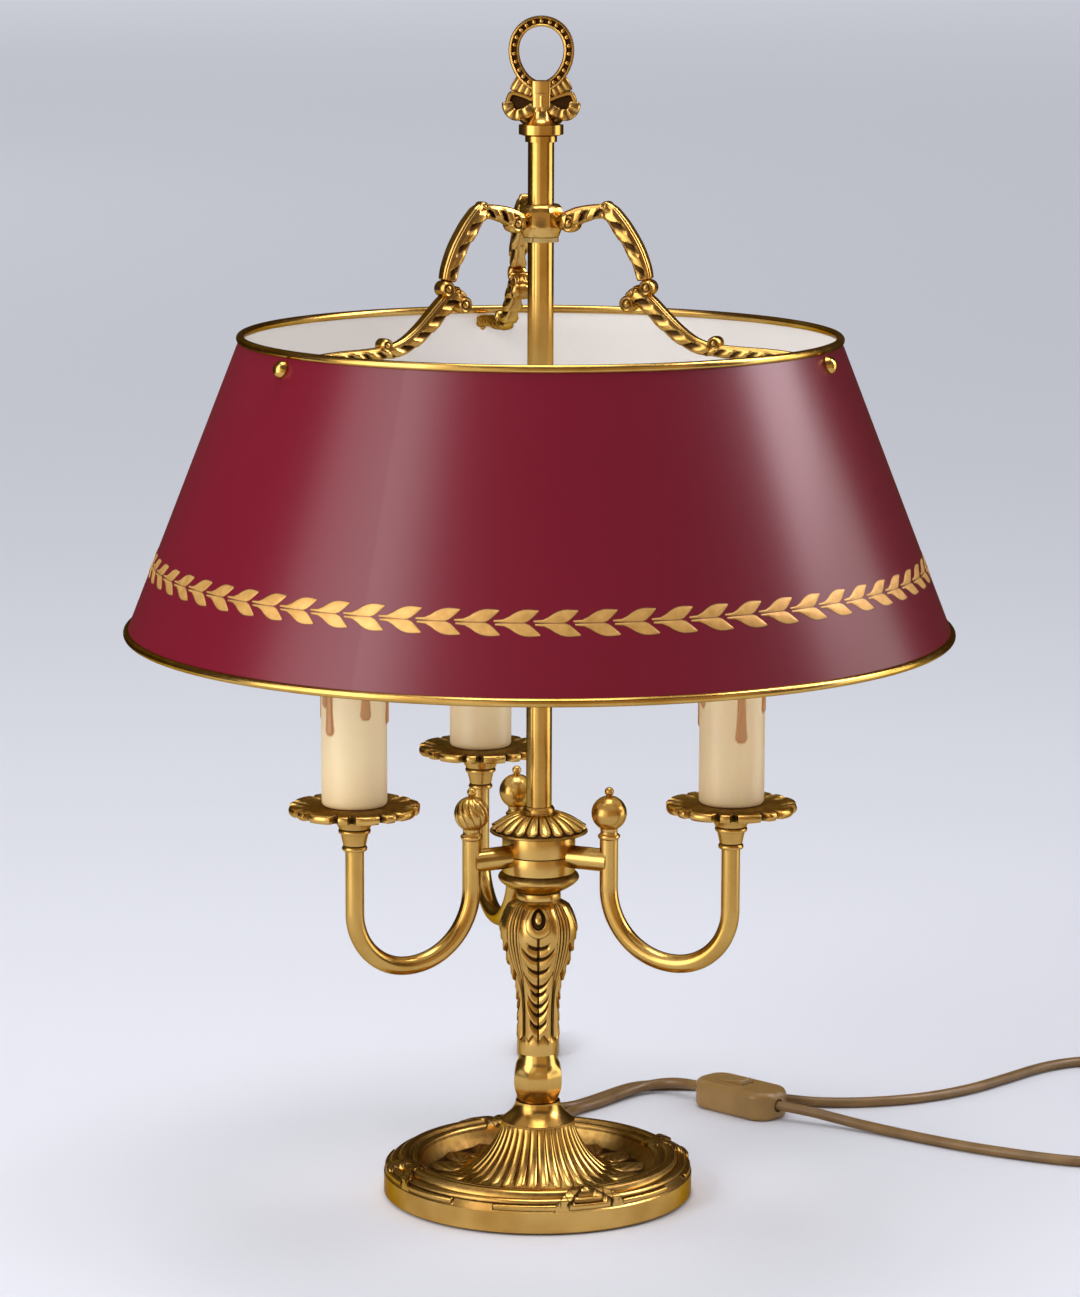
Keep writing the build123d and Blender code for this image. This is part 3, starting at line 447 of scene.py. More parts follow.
def blend(tree, factor, low, high, way="MIX"):
    """The low colour where the factor is 0 and the high one where it is 1. Each is fixed or a pattern."""
    node = tree.nodes.new("ShaderNodeMix")
    node.data_type = "RGBA"
    node.blend_type = way
    for socket, value in ((node.inputs[0], factor), (node.inputs[6], low), (node.inputs[7], high)):
        if isinstance(value, bpy.types.NodeSocket):
            tree.links.new(value, socket)
        else:
            socket.default_value = value
    return node.outputs[2]


patina_and_shade_colour = (0.050, 0.024, 0.008, 1.0)
patina_roughness = 0.55
patina_cloud = 0.35


def brass(name, bright, deep, roughness, carved):
    """Lacquered brass, cloudy with age. On carved brass, dark patina and painted shade fill the hollows."""
    made, tree, shader = finish(name)
    settle(shader, {"Metallic": 1.0, "Specular Tint": (0.42, 0.30, 0.16, 1.0)})
    colour = ramp(tree, noise(tree, 30.0, 6.0), (0.30, deep), (0.62, bright))
    haze = spread(tree, noise(tree, 110.0, 5.0), roughness - 0.05, roughness + 0.08)
    if carved:
        clean_and_lit = tree.nodes.new("ShaderNodeMath")
        clean_and_lit.operation = "MULTIPLY_ADD"
        tree.links.new(noise(tree, 260.0, 4.0), clean_and_lit.inputs[0])
        clean_and_lit.inputs[1].default_value = patina_cloud
        tree.links.new(polish(tree), clean_and_lit.inputs[2])
        mask = ramp(tree, clean_and_lit.outputs[0], (0.25, (0, 0, 0)), (0.85, (1, 1, 1)))
        # The dark colour in the hollows is patina and painted shade together.
        colour = blend(tree, mask, patina_and_shade_colour, colour)
        haze = spread(tree, mask, patina_roughness, roughness)
    skin(tree, shader, colour, haze, noise(tree, 420.0, 3.0), 0.12, 0.0002)
    return made


plain_brass = brass("polished_brass", (0.66, 0.42, 0.120), (0.50, 0.28, 0.060), 0.20, False)
carved_brass = brass("carved_brass", (0.68, 0.43, 0.125), (0.46, 0.25, 0.055), 0.25, True)


def chased(name, *blocks):
    """A piece of carved brass that rides with the lamp."""
    return surface(name, blocks, "lamp", carved_brass)


foot_underside = [(58.0, 6.5), (58.0, 1.2), (81.5, 1.2), (foot_radius - 0.4, 1.2), (foot_radius, 1.7)]
foot_band = [(foot_radius, band_top * row / band_rows) for row in range(1, band_rows)]
foot_band += [(foot_radius, band_top), (foot_radius - 0.5, band_top + 0.5)]
panel_slope = [(84.2 - 2.8 * share / 10, 13.4 + 2.9 * share / 10) for share in range(11)]
reeds = [spot for reed in reed_rounds for spot in round_line(*reed)]
cove = drawn_line([(64.3, 17.8), (63.0, 14.6), (61.4, 12.0), (60.4, dish_floor + 0.3)], 5)
floor_line = [(59.8 - 12.8 * share / 18, dish_floor) for share in range(19)]
flare_points = [(46.2, dish_floor + 0.2), (40.0, 13.0), (34.6, 16.6), (28.8, 22.2)]
flare_points += [(24.4, 28.6), (21.4, 35.0), (20.0, 40.0)]
flare_line = drawn_line(flare_points, 7)
flare_end = [(20.3, 40.3), (20.3, flare_top - 0.1), (19.8, flare_top), (5.1, flare_top)]
flare_end += [(5.1, 30.0), (20.0, 20.0)]
foot_profile = foot_underside + foot_band + panel_slope + reeds + cove + floor_line + flare_line + flare_end
panel_first = len(foot_underside + foot_band)
reeds_first = panel_first + len(panel_slope)
cove_first = reeds_first + len(reeds)
floor_first = cove_first + len(cove)
flare_first = floor_first + len(floor_line)
flare_last = flare_first + len(flare_line)
plume_last = flare_first + 8


def from_tie(angle):
    """The turn from the nearest ribbon tie, in radians."""
    return min(((angle - tie + math.pi) % math.tau - math.pi for tie in ties), key=abs)


def ribbon_tie(angle, radius):
    """How much of a ribbon lies over the rim here, and how polished it is, with painted shade on its sides.
    """
    arc = 0.5 - math.asin(max(-1.0, min(1.0, (radius - rim_middle) / rim_half))) / math.pi
    across = from_tie(angle) * radius
    cover, shine = 0.0, 0.0
    for way in (-1, 1):
        off = abs(across - way * tie_spread * (arc - tie_crossing))
        body = 1.0 - smooth_step(3.4, ribbon_half, off)
        hatch = 0.5 + 0.5 * math.cos(math.tau * (across / hatch_pitch + 1.2 * way * arc))
        polish_and_side_shade = 1.0 - smooth_step(ribbon_flat, 2.9, off)
        polish_and_side_shade *= 0.25 + 0.75 * smooth_step(0.06, 0.30, hatch)
        if body > cover:
            cover, shine = body, polish_and_side_shade
    return cover, shine


def rim_relief(index, angle, radius, height):
    """The rim: a raised panel by each tie, three reeds, and the crossed ribbons over them."""
    out, up = 0.0, 0.0
    if index < reeds_first:
        share = (index - panel_first) / (reeds_first - 1 - panel_first)
        inside = 1.0 - smooth_step(tie_reach - 0.012, tie_reach, abs(from_tie(angle)))
        swell = panel_swell * math.sin(math.pi * share) * inside
        out, up = 0.72 * swell, 0.70 * swell
        # Dark at each panel's edge and towards the reeds: painted shade with patina.
        high = 0.15 + 0.85 * inside * math.sin(math.pi * share) ** 0.6
        high *= smooth_step(0.004, 0.020, abs(abs(from_tie(angle)) - tie_reach))
        if inside == 0.0:
            high = 1.0 - 0.9 * smooth_step(0.75, 0.95, share)
    else:
        near = min(abs(radius - middle[0]) for middle, *_ in reed_rounds)
        high = 1.0 - 0.8 * smooth_step(1.7, 2.7, near)
    cover, shine = ribbon_tie(angle, radius)
    if cover > 0.0:
        share = (radius - rim_middle) / rim_half
        arch = tie_foot + tie_rise * math.sqrt(max(0.0, 1.0 - share * share))
        up += cover * max(0.0, arch - height - up)
        high = high * (1.0 - cover) + cover * shine
        # Painted shade along the ribbon's edges.
        if cover < 0.9:
            high = 0.0
    return out, up, high


def plume_relief(index, angle, radius):
    """How far a plume tip stands up from the dish, and how polished it is; dark between the plumes, with
    painted shade and patina.
    """
    reach = (radius - plume_foot) / plume_length
    across = (angle * plumes / math.tau) % 1.0 - 0.5
    width = 0.47 * math.sqrt(max(0.0, 1.0 - reach ** 2.4))
    if width <= 0.02 or abs(across) >= width:
        return 0.0, 0.08
    ratio = abs(across) / width
    body = math.sqrt(1.0 - ratio * ratio)
    veins = 0.5 + 0.5 * math.cos(math.tau * (3.0 * reach + 1.4 * ratio))
    fade = 1.0 - smooth_step(flare_first, plume_last, index)
    return plume_rise * body * (0.8 + 0.2 * veins) * fade, 0.18 + 0.40 * body * veins


def foot_relief(index, angle, radius, height):
    """The chasing of the foot, from its rim inwards: rim, cove, plume tips and flutes."""
    out, up, high = 0.0, 0.0, 1.0
    if panel_first <= index < cove_first:
        out, up, high = rim_relief(index, angle, radius, height)
    elif cove_first <= index < floor_first:
        # Darker down the cove: painted shade with patina.
        high = 0.40 - 0.20 * (index - cove_first) / (floor_first - cove_first)
    elif floor_first <= index < plume_last:
        up, high = plume_relief(index, angle, radius)
    if flare_first <= index < flare_last:
        across = (angle * flutes / math.tau) % 1.0 * 2.0 - 1.0
        crest = math.sqrt(max(0.0, 1.0 - across * across))
        depth = 0.30 * math.tau * radius / flutes * smooth_step(flare_first, flare_first + 6, index)
        depth *= 1.0 - smooth_step(flare_last - 5, flare_last - 1, index)
        out += depth * 0.75 * (crest - 1.0)
        up += depth * 0.65 * (crest - 1.0)
        # Dark in the flutes: painted shade with patina.
        shine = 0.15 + 0.85 * smooth_step(0.25, 0.85, crest)
        high = shine if index > flare_first + 6 else 0.5 * (high + shine)
    return out, up, high


foot = chased("foot", (turned(foot_profile, 960, foot_relief), True))
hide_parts("foot_casting")

# ---- Stem ----
# The bell, the eight-sided knop and the leaf baluster are cast brass, threaded on the centre nipple. Four
# acanthus leaves are chased on the baluster, each with paired leaflets on a rib under a looped eye.
dress("bell", plain_brass)
dress("centre_nipple", plain_brass)
bore = 5.2
knop_foot, knop_top = 52.1, 79.0
knop_swell = [(11.3, 53.8), (12.1, 55.4), (13.2, 57.6), (13.9, 60.2), (14.2, 63.2), (14.1, 66.2)]
knop_neck = [(14.05, 66.8), (13.5, 69.6), (12.2, 72.6), (10.9, 75.4), (10.2, 78.0), (9.9, knop_top)]
knop_line = [(bore, knop_foot), (10.6, knop_foot), (11.0, 52.5), (11.2, 53.4)]
knop_line += drawn_line(knop_swell, 4) + drawn_line(knop_neck, 4) + [(bore, knop_top)]


def eight_sided(middle_level, half_flat, half_fade):
    """The relief that turns a round piece into one of eight flats about a level."""
    sector = math.tau / 8

    def flats(index, angle, radius, height):
        """How far this point of a flat lies inside the round."""
        away = abs(height - middle_level)
        share = 1.0 - smooth_step(half_flat, half_flat + half_fade, away)
        off = abs((angle + sector / 2) % sector - sector / 2)
        return -share * radius * (1.0 - math.cos(sector / 2) / math.cos(off)), 0.0, 1.0

    return flats


knop_rows = turned(knop_line, 160, eight_sided(63.5, 5.0, 5.0))
knop = surface("knop", [(knop_rows, True)], "lamp", plain_brass, corner=24.0)
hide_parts("faceted_knop")

baluster_top = 166.0
baluster_points = [(10.4, knop_top), (10.6, 82.0), (10.6, 86.0), (9.9, 90.0), (9.8, 97.0), (10.0, 106.0)]
baluster_points += [(10.7, 114.0), (12.3, 121.8), (15.1, 129.7), (17.4, 137.6), (18.7, 144.3), (18.9, 151.1)]
baluster_points += [(17.6, 156.7), (15.2, 161.2), (13.0, 164.6), (12.0, 165.9)]
baluster_line = [(bore, knop_top), *drawn_line(baluster_points, 20), (bore, baluster_top)]
leaf_top, leaf_foot = 165.4, 86.5
leaf_relief = 1.4
eye_drop, hole_drop, knob_drop = 8.9, 7.4, 7.0
rib_half, rib_depth = 0.065, 0.8
leaflet_lip, leaflet_run, leaflet_depth = 0.9, 4.8, 1.8
# Each leaflet's end, as its drop below the leaf's top at the midrib, and how far it reaches across.
leaflets = [(23.0, 0.44), (29.5, 0.76), (37.4, 0.56), (46.3, 0.95), (50.8, 0.50), (57.3, 0.70)]
leaflets += [(62.4, 0.78), (69.2, 0.56)]


def acanthus(index, angle, radius, height):
    """The relief of the four leaves of the baluster. A turn of 0 is a leaf's midrib, 1 is its edge."""
    turn = (angle + math.pi / 4) % (math.pi / 2) / (math.pi / 4) - 1.0
    edge = abs(turn)
    drop = leaf_top - height
    tip = leaf_foot + 4.0 * abs(2.0 * ((turn + 1.0) * 1.5 % 1.0) - 1.0)
    cover = smooth_step(tip, tip + 1.2, height) * (1.0 - smooth_step(162.5, leaf_top, height))
    if cover == 0.0:
        # Painted shade just under the leaf tips.
        return 0.0, 0.0, 0.35 + 0.5 * smooth_step(0.0, 4.0, tip - height)
    leaf_edge = 0.70 + 0.16 * smooth_step(34.0, 50.0, drop)
    eye = math.hypot(turn / 0.46, (drop - eye_drop) / 8.8)
    hole = math.hypot(turn / 0.25, (drop - hole_drop) / 5.4)
    relief, dark = leaf_relief, 0.0
    if eye < 1.0 and hole > 1.0:
        relief = 1.2 + 0.9 * math.sqrt(max(0.0, 1.0 - ((eye - 0.75) / 0.30) ** 2))
        dark = 1.0 - smooth_step(0.02, 0.09, min(1.0 - eye, hole - 1.0))
    elif eye < 1.0:
        knob = math.hypot(turn / 0.15, (drop - knob_drop) / 3.4)
        relief = 0.1 + 1.5 * math.sqrt(max(0.0, 1.0 - knob * knob))
        dark = smooth_step(0.70, 0.98, knob)
    elif edge < leaf_edge:
        relief += 0.8 * math.sin(math.pi * edge / leaf_edge) - 0.3
        fall = drop + 9.5 * (edge / 0.75) ** 2.2
        for end, reach in leaflets:
            past = fall - end
            if -leaflet_lip < past < leaflet_run:
                step = smooth_step(-leaflet_lip, 0.2, past) * (1.0 - smooth_step(0.2, leaflet_run, past))
                step *= 1.0 - smooth_step(0.75 * reach, reach, edge)
                relief -= leaflet_depth * step
                # Painted shade under each leaflet's lip, with patina.
                dark = max(dark, smooth_step(0.42, 0.85, step))
        rib = 1.0 - smooth_step(0.015, rib_half, edge)
        relief -= rib_depth * rib
        dark = max(dark, 0.9 * rib)
    else:
        seam = min(abs(edge - line) for line in (leaf_edge, (leaf_edge + 1.0) / 2, 1.0))
        # Dark seams between the leaves: painted shade with patina.
        dark = 0.95 * (1.0 - smooth_step(0.012, 0.055, seam))
        relief -= 0.9 * (1.0 - smooth_step(0.0, 0.075, seam)) + 0.4 * edge
    # Painted shade in the deep gap between the leaves.
    deep = smooth_step(0.95, 1.0, edge)
    out = cover * (relief + 0.5 * (1.0 - edge * edge) - 1.6 * deep)
    return out, 0.0, (1.0 - dark) * (1.0 - 0.9 * deep)


baluster = chased("baluster", (turned(baluster_line, 560, acanthus), True))
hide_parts("leaf_baluster")

# ---- Hub ----
# A turned bowl carries a canister that is split at the links, so that the wires can be joined inside. A
# cast lid with twenty gadroons closes it, and the nut at the rod's foot holds the stack together.
hub_radius = 20.0
hub_levels = (181.0, 191.0, 203.0)
hub_foot, split_level, hub_top = hub_levels
neck_crease = 170.2
bowl_line = [(bore, baluster_top), (12.0, baluster_top), (12.2, 166.5), (12.1, 169.4), (11.8, 170.1)]
bowl_line += drawn_line([(12.4, 170.6), (15.7, 172.2), (19.6, 174.7), (21.8, 176.9), (22.2, 178.2)], 6)
bowl_line += [(22.0, 179.0), (21.5, 179.8), (20.8, 180.5), (20.1, hub_foot), (bore, hub_foot)]


def bowl_painted_shade(index, angle, radius, height):
    """Painted shade: dark in the crease between the bowl and its neck, dimmer on the whole bowl and darker on
    its lip under the canister.
    """
    # The lip's darkness is painted shade under the canister.
    lip = 0.75 - 0.55 * smooth_step(177.0, 179.6, height)
    return 0.0, 0.0, smooth_step(0.2, 1.0, abs(height - neck_crease)) * lip


bowl = chased("hub_bowl", (turned(bowl_line, 160, bowl_painted_shade), True))
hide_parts("hub_bowl")

hub_profile = [(17.5, hub_foot + 0.1)]
for low, high in ((hub_foot, split_level), (split_level, hub_top)):
    hub_profile += [
        (hub_radius - 0.5, low + 0.15),
        (hub_radius - 0.1, low + 0.3),
        (hub_radius, low + 0.7),
        (hub_radius, high - 0.6),
        (hub_radius - 0.1, high - 0.25),
        (hub_radius - 0.5, high - 0.15),
    ]
hub_profile.append((17.5, hub_top - 0.1))


def split_line(index, angle, radius, height):
    """Dark in the joints of the canister."""
    return 0.0, 0.0, smooth_step(0.15, 0.45, min(abs(height - level) for level in hub_levels))


canister = chased("canister", (turned(hub_profile, 192, split_line), True))
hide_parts("hub_lower_half", "hub_upper_half")

gadroons = 20
lobe_outer, lobe_inner = 25.2, 8.8
lobe_level = 204.6
lobe_round = 0.17
lid_points = [(lobe_outer, lobe_level), (23.6, 205.7), (20.6, 208.0), (17.0, 210.3), (13.0, 212.3)]
lid_points.append((lobe_inner, 213.6))
lid_profile = [(6.0, hub_top), (20.4, hub_top), (26.3, 203.1), (26.8, 203.5), (26.6, 204.2), (25.9, 204.5)]
lid_profile += drawn_line(lid_points, 10)
lid_profile += [(8.6, 213.9), (8.7, 215.2), (8.5, 216.4), (8.0, 217.2), (7.8, 217.5), (6.0, 217.5)]


def gadroon(index, angle, radius, height):
    """The rounded petals of the lid, broad at the foot."""
    if radius > lobe_outer or radius < lobe_inner or height < lobe_level:
        return 0.0, 0.0, 0.45 if height < 214.0 else 0.8
    reach = (lobe_outer - radius) / (lobe_outer - lobe_inner)
    width = 0.47 * (math.sqrt(1.0 - (1.0 - reach / lobe_round) ** 2) if reach < lobe_round else 1.0)
    across = (angle * gadroons / math.tau) % 1.0 - 0.5
    crest = math.sqrt(max(0.0, 1.0 - (across / width) ** 2)) if width > 0.01 else 0.0
    lift = 0.31 * math.tau * radius / gadroons * crest * (1.0 - smooth_step(0.8, 1.0, reach))
    # Dark between the petals: painted shade with patina.
    return 0.45 * lift, 0.75 * lift, 0.04 + 0.96 * smooth_step(0.2, 0.85, crest)


lid = chased("hub_lid", (turned(lid_profile, 480, gadroon), True))
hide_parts("hub_dome")

# ---- Candle arms ----
# Each arm is a bent brass tube, brazed to a short link from the hub. A turned ball closes its inner end,
# and its outer end carries a turned cup, a cast drip tray with a scalloped edge and the lampholder.
arm_azimuths = {"right": -25.5, "back": 107.0, "left": 210.5}
inner_upright, outer_upright = 42.2, 113.9
dress("arm_links", plain_brass)


def place_at(arm, reach):
    """A point of an arm, that far from the lamp's axis."""
    azimuth = math.radians(arm_azimuths[arm])
    return (reach * math.cos(azimuth), reach * math.sin(azimuth))


ball_middle, ball_radius = 217.4, 9.6
ball_ribs = 12
shaded_rows_under_ball = (7, 8)
ball_line = [(0.3, hub_top), (5.0, hub_top), (5.3, 203.3), (5.9, 203.9), (6.1, 204.7), (5.8, 205.5)]
ball_line += [(5.1, 205.9), (4.7, 206.6), (4.6, 207.6)]
ball_line += round_line((0.0, ball_middle), ball_radius, -59, 79, 30)
ball_line += [(1.5, 227.2)] + round_line((0.0, 229.2), 2.5, -48, 84, 12)


def plain_ball(index, angle, radius, height):
    """A polished ball, dark only under its collar, where shade is painted."""
    return 0.0, 0.0, 0.5 if index in shaded_rows_under_ball else 1.0


def melon(index, angle, radius, height):
    """The slanting ribs of the left arm's ball."""
    if abs(height - ball_middle) > ball_radius or radius < 2.0 or index <= max(shaded_rows_under_ball):
        return plain_ball(index, angle, radius, height)
    across = ((angle + 0.045 * (height - ball_middle)) * ball_ribs / math.tau) % 1.0 * 2.0 - 1.0
    crest = math.sqrt(max(0.0, 1.0 - across * across))
    # Dark between the ribs: painted shade with patina.
    return 0.10 * radius * (crest - 1.0), 0.0, 0.1 + 0.9 * smooth_step(0.25, 0.8, crest)


balls = []
for arm in arm_azimuths:
    relief, columns = (melon, 144) if arm == "left" else (plain_ball, 64)
    balls.append((turned(ball_line, columns, relief, place_at(arm, inner_upright)), False))
ball_pieces = chased("arm_end_balls", *balls)
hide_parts("arm_balls")

tube_radius = 5.1
cup_line = [(tube_radius, 205.0), (6.2, 205.0), (6.7, 205.5), (6.8, 206.3), (6.6, 207.1), (6.1, 207.6)]
cup_line += drawn_line([(6.1, 207.9), (6.7, 211.0), (7.5, 214.4)], 5)
cup_line += [(8.4, 214.7), (8.7, 215.5), (8.6, 216.3), (8.2, 216.8)]
cup_line += drawn_line([(8.4, 217.2), (9.6, 219.6), (11.8, 222.8), (14.6, 226.0)], 5) + [(tube_radius, 226.0)]


def cup_crease_shade(index, angle, radius, height):
    """Dark in the cup's two creases: painted shade and patina."""
    return 0.0, 0.0, smooth_step(0.1, 0.8, min(abs(height - 207.8), abs(height - 217.0)))


tray_radius = 35.5
tray_lobes = 8
wide_lobe = 0.64
lobe_swell = 1.3
notch_half, notch_depth = 2.2, 3.8
flat_radius, rim_start = 24.0, 33.5
rim_foot = 227.0
tray_top_shade = 0.26
tray_line = [(bore, 226.1), (16.0, 226.0), (27.0, 225.9), (32.6, 225.4), (34.4, 225.5), (35.2, 226.4)]
tray_line += [(tray_radius, 227.8), (35.3, 229.0), (34.8, 229.7), (34.0, 230.0), (32.8, 229.8)]
tray_line += [(31.0, 229.2), (28.0, 228.8), (23.0, 228.8), (19.6, 229.1), (18.4, 229.9), (bore, 230.0)]


def scallop(index, angle, radius, height):
    """The tray's edge: wide and narrow lobes in turn, with a round notch between them."""
    share = (angle * tray_lobes / math.tau) % 1.0
    near = min(abs(share - edge) for edge in (0.0, wide_lobe, 1.0)) * math.tau * tray_radius / tray_lobes
    if share < wide_lobe:
        swell = 1.0 - (2.0 * share / wide_lobe - 1.0) ** 2
    else:
        swell = 0.75 - 0.75 * (2.0 * (share - wide_lobe) / (1.0 - wide_lobe) - 1.0) ** 2
    notch = math.sqrt(max(0.0, 1.0 - (near / notch_half) ** 2))
    hold = smooth_step(flat_radius, 33.0, radius)
    # Painted shade: dark in the notches and over the tray's inner top.
    high = 1.0 - 0.95 * notch if radius > rim_start or height < rim_foot else tray_top_shade
    return hold * (lobe_swell * swell - lobe_swell - notch_depth * notch), 0.0, high


for arm in arm_azimuths:
    dress(f"arm_tube_{arm}", plain_brass)
    spot = place_at(arm, outer_upright)
    cup = chased(f"cup_{arm}", (turned(cup_line, 72, cup_crease_shade, spot), True))
    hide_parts(f"candle_cup_{arm}")
    tray = chased(f"tray_{arm}", (turned(tray_line, 480, scallop, spot), True))
    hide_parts(f"drip_tray_{arm}")

# ---- Candles ----
# Each candle is a moulded ivory sleeve, slipped over the lampholder, with drips of amber wax run down
# from its top. A clear candle bulb stands in it, hidden by the shade.
sleeve_radius = 17.5
sleeve_bore = 14.9
drip_depth = 1.15
drip_taper = 9.0
# Each drip's azimuth, half its width, and the level of its lower end.
drips = {
    "left": [
        (-135.6, 3.0, 269.5), (-149.0, 1.9, 284.0), (-67.0, 2.7, 278.5), (-8.0, 2.6, 274.0),
        (50.0, 2.9, 266.0), (110.0, 2.2, 281.0), (165.0, 2.5, 275.0),
    ],
    "right": [
        (-154.5, 2.2, 283.0), (-76.0, 3.0, 265.5), (-22.0, 2.3, 280.0), (60.0, 2.6, 272.0),
        (115.0, 2.1, 284.0), (165.0, 3.0, 270.0),
    ],
    "back": [
        (-130.0, 2.4, 281.0), (-60.0, 2.8, 276.0), (20.0, 2.5, 270.0), (120.0, 2.9, 279.0),
        (170.0, 2.2, 272.0), (-20.0, 2.0, 285.0),
    ],
}
sleeve_line = [(sleeve_bore, 230.1), (15.6, 230.0), (16.5, 230.2), (17.1, 230.8), (17.4, 231.7)]
sleeve_line += [(sleeve_radius, 233.0 + step) for step in range(83)]
sleeve_line += [(17.4, 316.6), (16.9, 317.5), (16.0, 318.0), (sleeve_bore, 317.6)]


def wax(name, light, dark, amber):
    """Ivory wax, lit a little from within and specked with dust, with amber in its drips."""
    made, tree, shader = finish(name)
    body = ramp(tree, noise(tree, 14.0, 4.0), (0.3, dark), (0.7, light))
    speck = ramp(tree, noise(tree, 420.0, 2.0), (0.72, (1, 1, 1)), (0.80, (0.72, 0.60, 0.45)))
    specked = blend(tree, 0.35, body, speck, "MULTIPLY")
    colour = blend(tree, polish(tree), (*amber, 1.0), specked)
    haze = spread(tree, noise(tree, 90.0), 0.32, 0.46)
    settle(shader, {"Subsurface Weight": 0.25, "Subsurface Radius": (0.002, 0.001, 0.0005)})
    skin(tree, shader, colour, haze, noise(tree, 160.0, 4.0), 0.25, 0.0003)
    return made


ivory = wax("ivory_wax", (0.98, 0.76, 0.44), (0.95, 0.69, 0.37), (0.50, 0.175, 0.022))
glass, glass_tree, glass_shader = finish("clear_glass")
settle(glass_shader, {"Transmission Weight": 1.0, "IOR": 1.45})
glass_tint = ramp(glass_tree, noise(glass_tree, 20.0), (0.3, (0.95, 0.96, 0.95)), (0.7, (0.98, 0.98, 0.97)))
glass_tree.links.new(glass_tint, glass_shader.inputs["Base Color"])
glass_haze = spread(glass_tree, noise(glass_tree, 60.0), 0.01, 0.05)
glass_tree.links.new(glass_haze, glass_shader.inputs["Roughness"])
holder_finish = plastic("holder_plastic", (0.74, 0.71, 0.62), (0.70, 0.66, 0.57), 0.5)
cap_finish = brass("bulb_cap", (0.62, 0.52, 0.30), (0.50, 0.40, 0.21), 0.34, False)
dress("lampholders", holder_finish)
dress("connector_block", holder_finish)
dress("bulb_caps", cap_finish)


def dripping(runs):
    """The relief of the drips on a candle."""

    def wax_run(index, angle, radius, height):
        """How far the wax stands off the sleeve here; 0 is amber and 1 is ivory."""
        lift, high = 0.0, 1.0
        if height < 233.0 or radius < 16.5:
            return 0.0, 0.0, 1.0
        for azimuth, half, end in runs:
            off = abs((angle - math.radians(azimuth) + math.pi) % math.tau - math.pi) * sleeve_radius
            above = height - end
            width = half * (0.62 + 0.38 * math.exp(-max(0.0, above - half) / drip_taper))
            reach = math.hypot(off / width, min(0.0, above - width) / width)
            if reach < 1.25:
                lift = max(lift, drip_depth * math.sqrt(max(0.0, 1.0 - reach * reach)))
                fill = 0.20 * (1.0 - reach ** 3) if reach < 1.0 else smooth_step(0.0, 0.25, reach - 1.0)
                high = min(high, fill)
        return lift, 0.0, high

    return wax_run


for arm in arm_azimuths:
    dress(f"bulb_glass_{arm}", glass)
    sleeve_rows = turned(sleeve_line, 300, dripping(drips[arm]), place_at(arm, outer_upright))
    sleeve = surface(f"sleeve_{arm}", [(sleeve_rows, True)], "lamp", ivory)
    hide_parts(f"candle_sleeve_{arm}")

# ---- Rod and finial ----
# The rod is drawn brass tube. Its cast finial is an oval ring with beads in a channel, on a ribbon bow
# with a knot, and screws into the turned collar that plugs the rod.
dress("lamp_rod", plain_brass)
dress("finial_collar", plain_brass)
front_to_back = Vector((0.0, 1.0, 0.0))


def swept(path, side, section, loop=False):
    """Rows of points for a bar along a flat path. The section gives, from the share of the path, points
    of (along the side vector, off the path in its plane, high)."""
    rows = []
    count = len(path)
    for index, spot in enumerate(path):
        before = path[index - 1] if index or loop else spot
        after = path[(index + 1) % count] if index + 1 < count or loop else spot
        off = side.cross(after - before).normalized()
        row = []
        for sideways, away, high in section(index / (count - 1)):
            place = spot + sideways * side + away * off
            row.append((*place, high))
        rows.append(row)
    return rows


oval_middle = 624.4
oval_half_width, oval_half_height = 14.5, 17.2
oval_steps = 180
beads = 24
bead_radius, bead_face = 1.25, 2.05
# Half of the bar's section, as how far it lies to the front, how far outwards, and how polished it is;
# the channel's floor under the beads is dark with painted shade and patina.
channel_half = [(-2.3, 2.8, 0.9), (-3.0, 2.4, 1.0), (-3.2, 1.8, 1.0), (-2.8, 1.3, 0.7), (-1.8, 1.05, 0.05)]
channel_half += [(sideways, -away, high) for sideways, away, high in reversed(channel_half)]
oval_section = channel_half + [(-sideways, away, high) for sideways, away, high in reversed(channel_half)]
oval_path = []
for step in range(oval_steps):
    angle = math.tau * step / oval_steps
    x = oval_half_width * math.cos(angle) * (1.0 + 0.11 * math.sin(angle))
    oval_path.append(Vector((x, 0.0, oval_middle + oval_half_height * math.sin(angle))))
finial_blocks = [(swept(oval_path, front_to_back, lambda share: oval_section, True), True)]
for step in range(beads):
    spot = oval_path[int(oval_steps * step / beads)]
    for face in (-bead_face, bead_face):
        rows = turned(round_line((0.0, spot.z), bead_radius, -85, 85, 8), 12, None, (spot.x, face))
        finial_blocks.append((rows, False))
finial = chased("finial_oval", *finial_blocks)
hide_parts("finial_ring")


def ribbon(points, half_width, thickness, pleats, shine=1.0):
    """A cast ribbon of the bow along (x, z) points, alike on its front and its back."""
    path = [Vector((x, 0.0, z)) for x, z in drawn_line(points, 12)]

    def section(share):
        """The ribbon's section, thinner at its two ends and creased by its pleats."""
        ends = min(1.0, 9.0 * share + 0.35, 9.0 * (1.0 - share) + 0.35)
        crease = 0.5 + 0.5 * math.cos(math.tau * pleats * share) if pleats else 1.0
        wide = half_width * ends
        deep = thickness * (0.72 + 0.28 * crease)
        high = shine * (0.25 + 0.75 * crease)
        ring = []
        for step in range(16):
            angle = math.tau * step / 16
            sideways = deep * math.copysign(abs(math.sin(angle)) ** 0.7, math.sin(angle))
            away = wide * math.copysign(abs(math.cos(angle)) ** 0.6, math.cos(angle))
            # Darker in the pleats' creases and along the ribbon's edges: painted shade with patina.
            ring.append((sideways, away, high * (0.35 if abs(away) > 0.93 * wide else 1.0)))
        return ring

    return (swept(path, front_to_back, section), False)


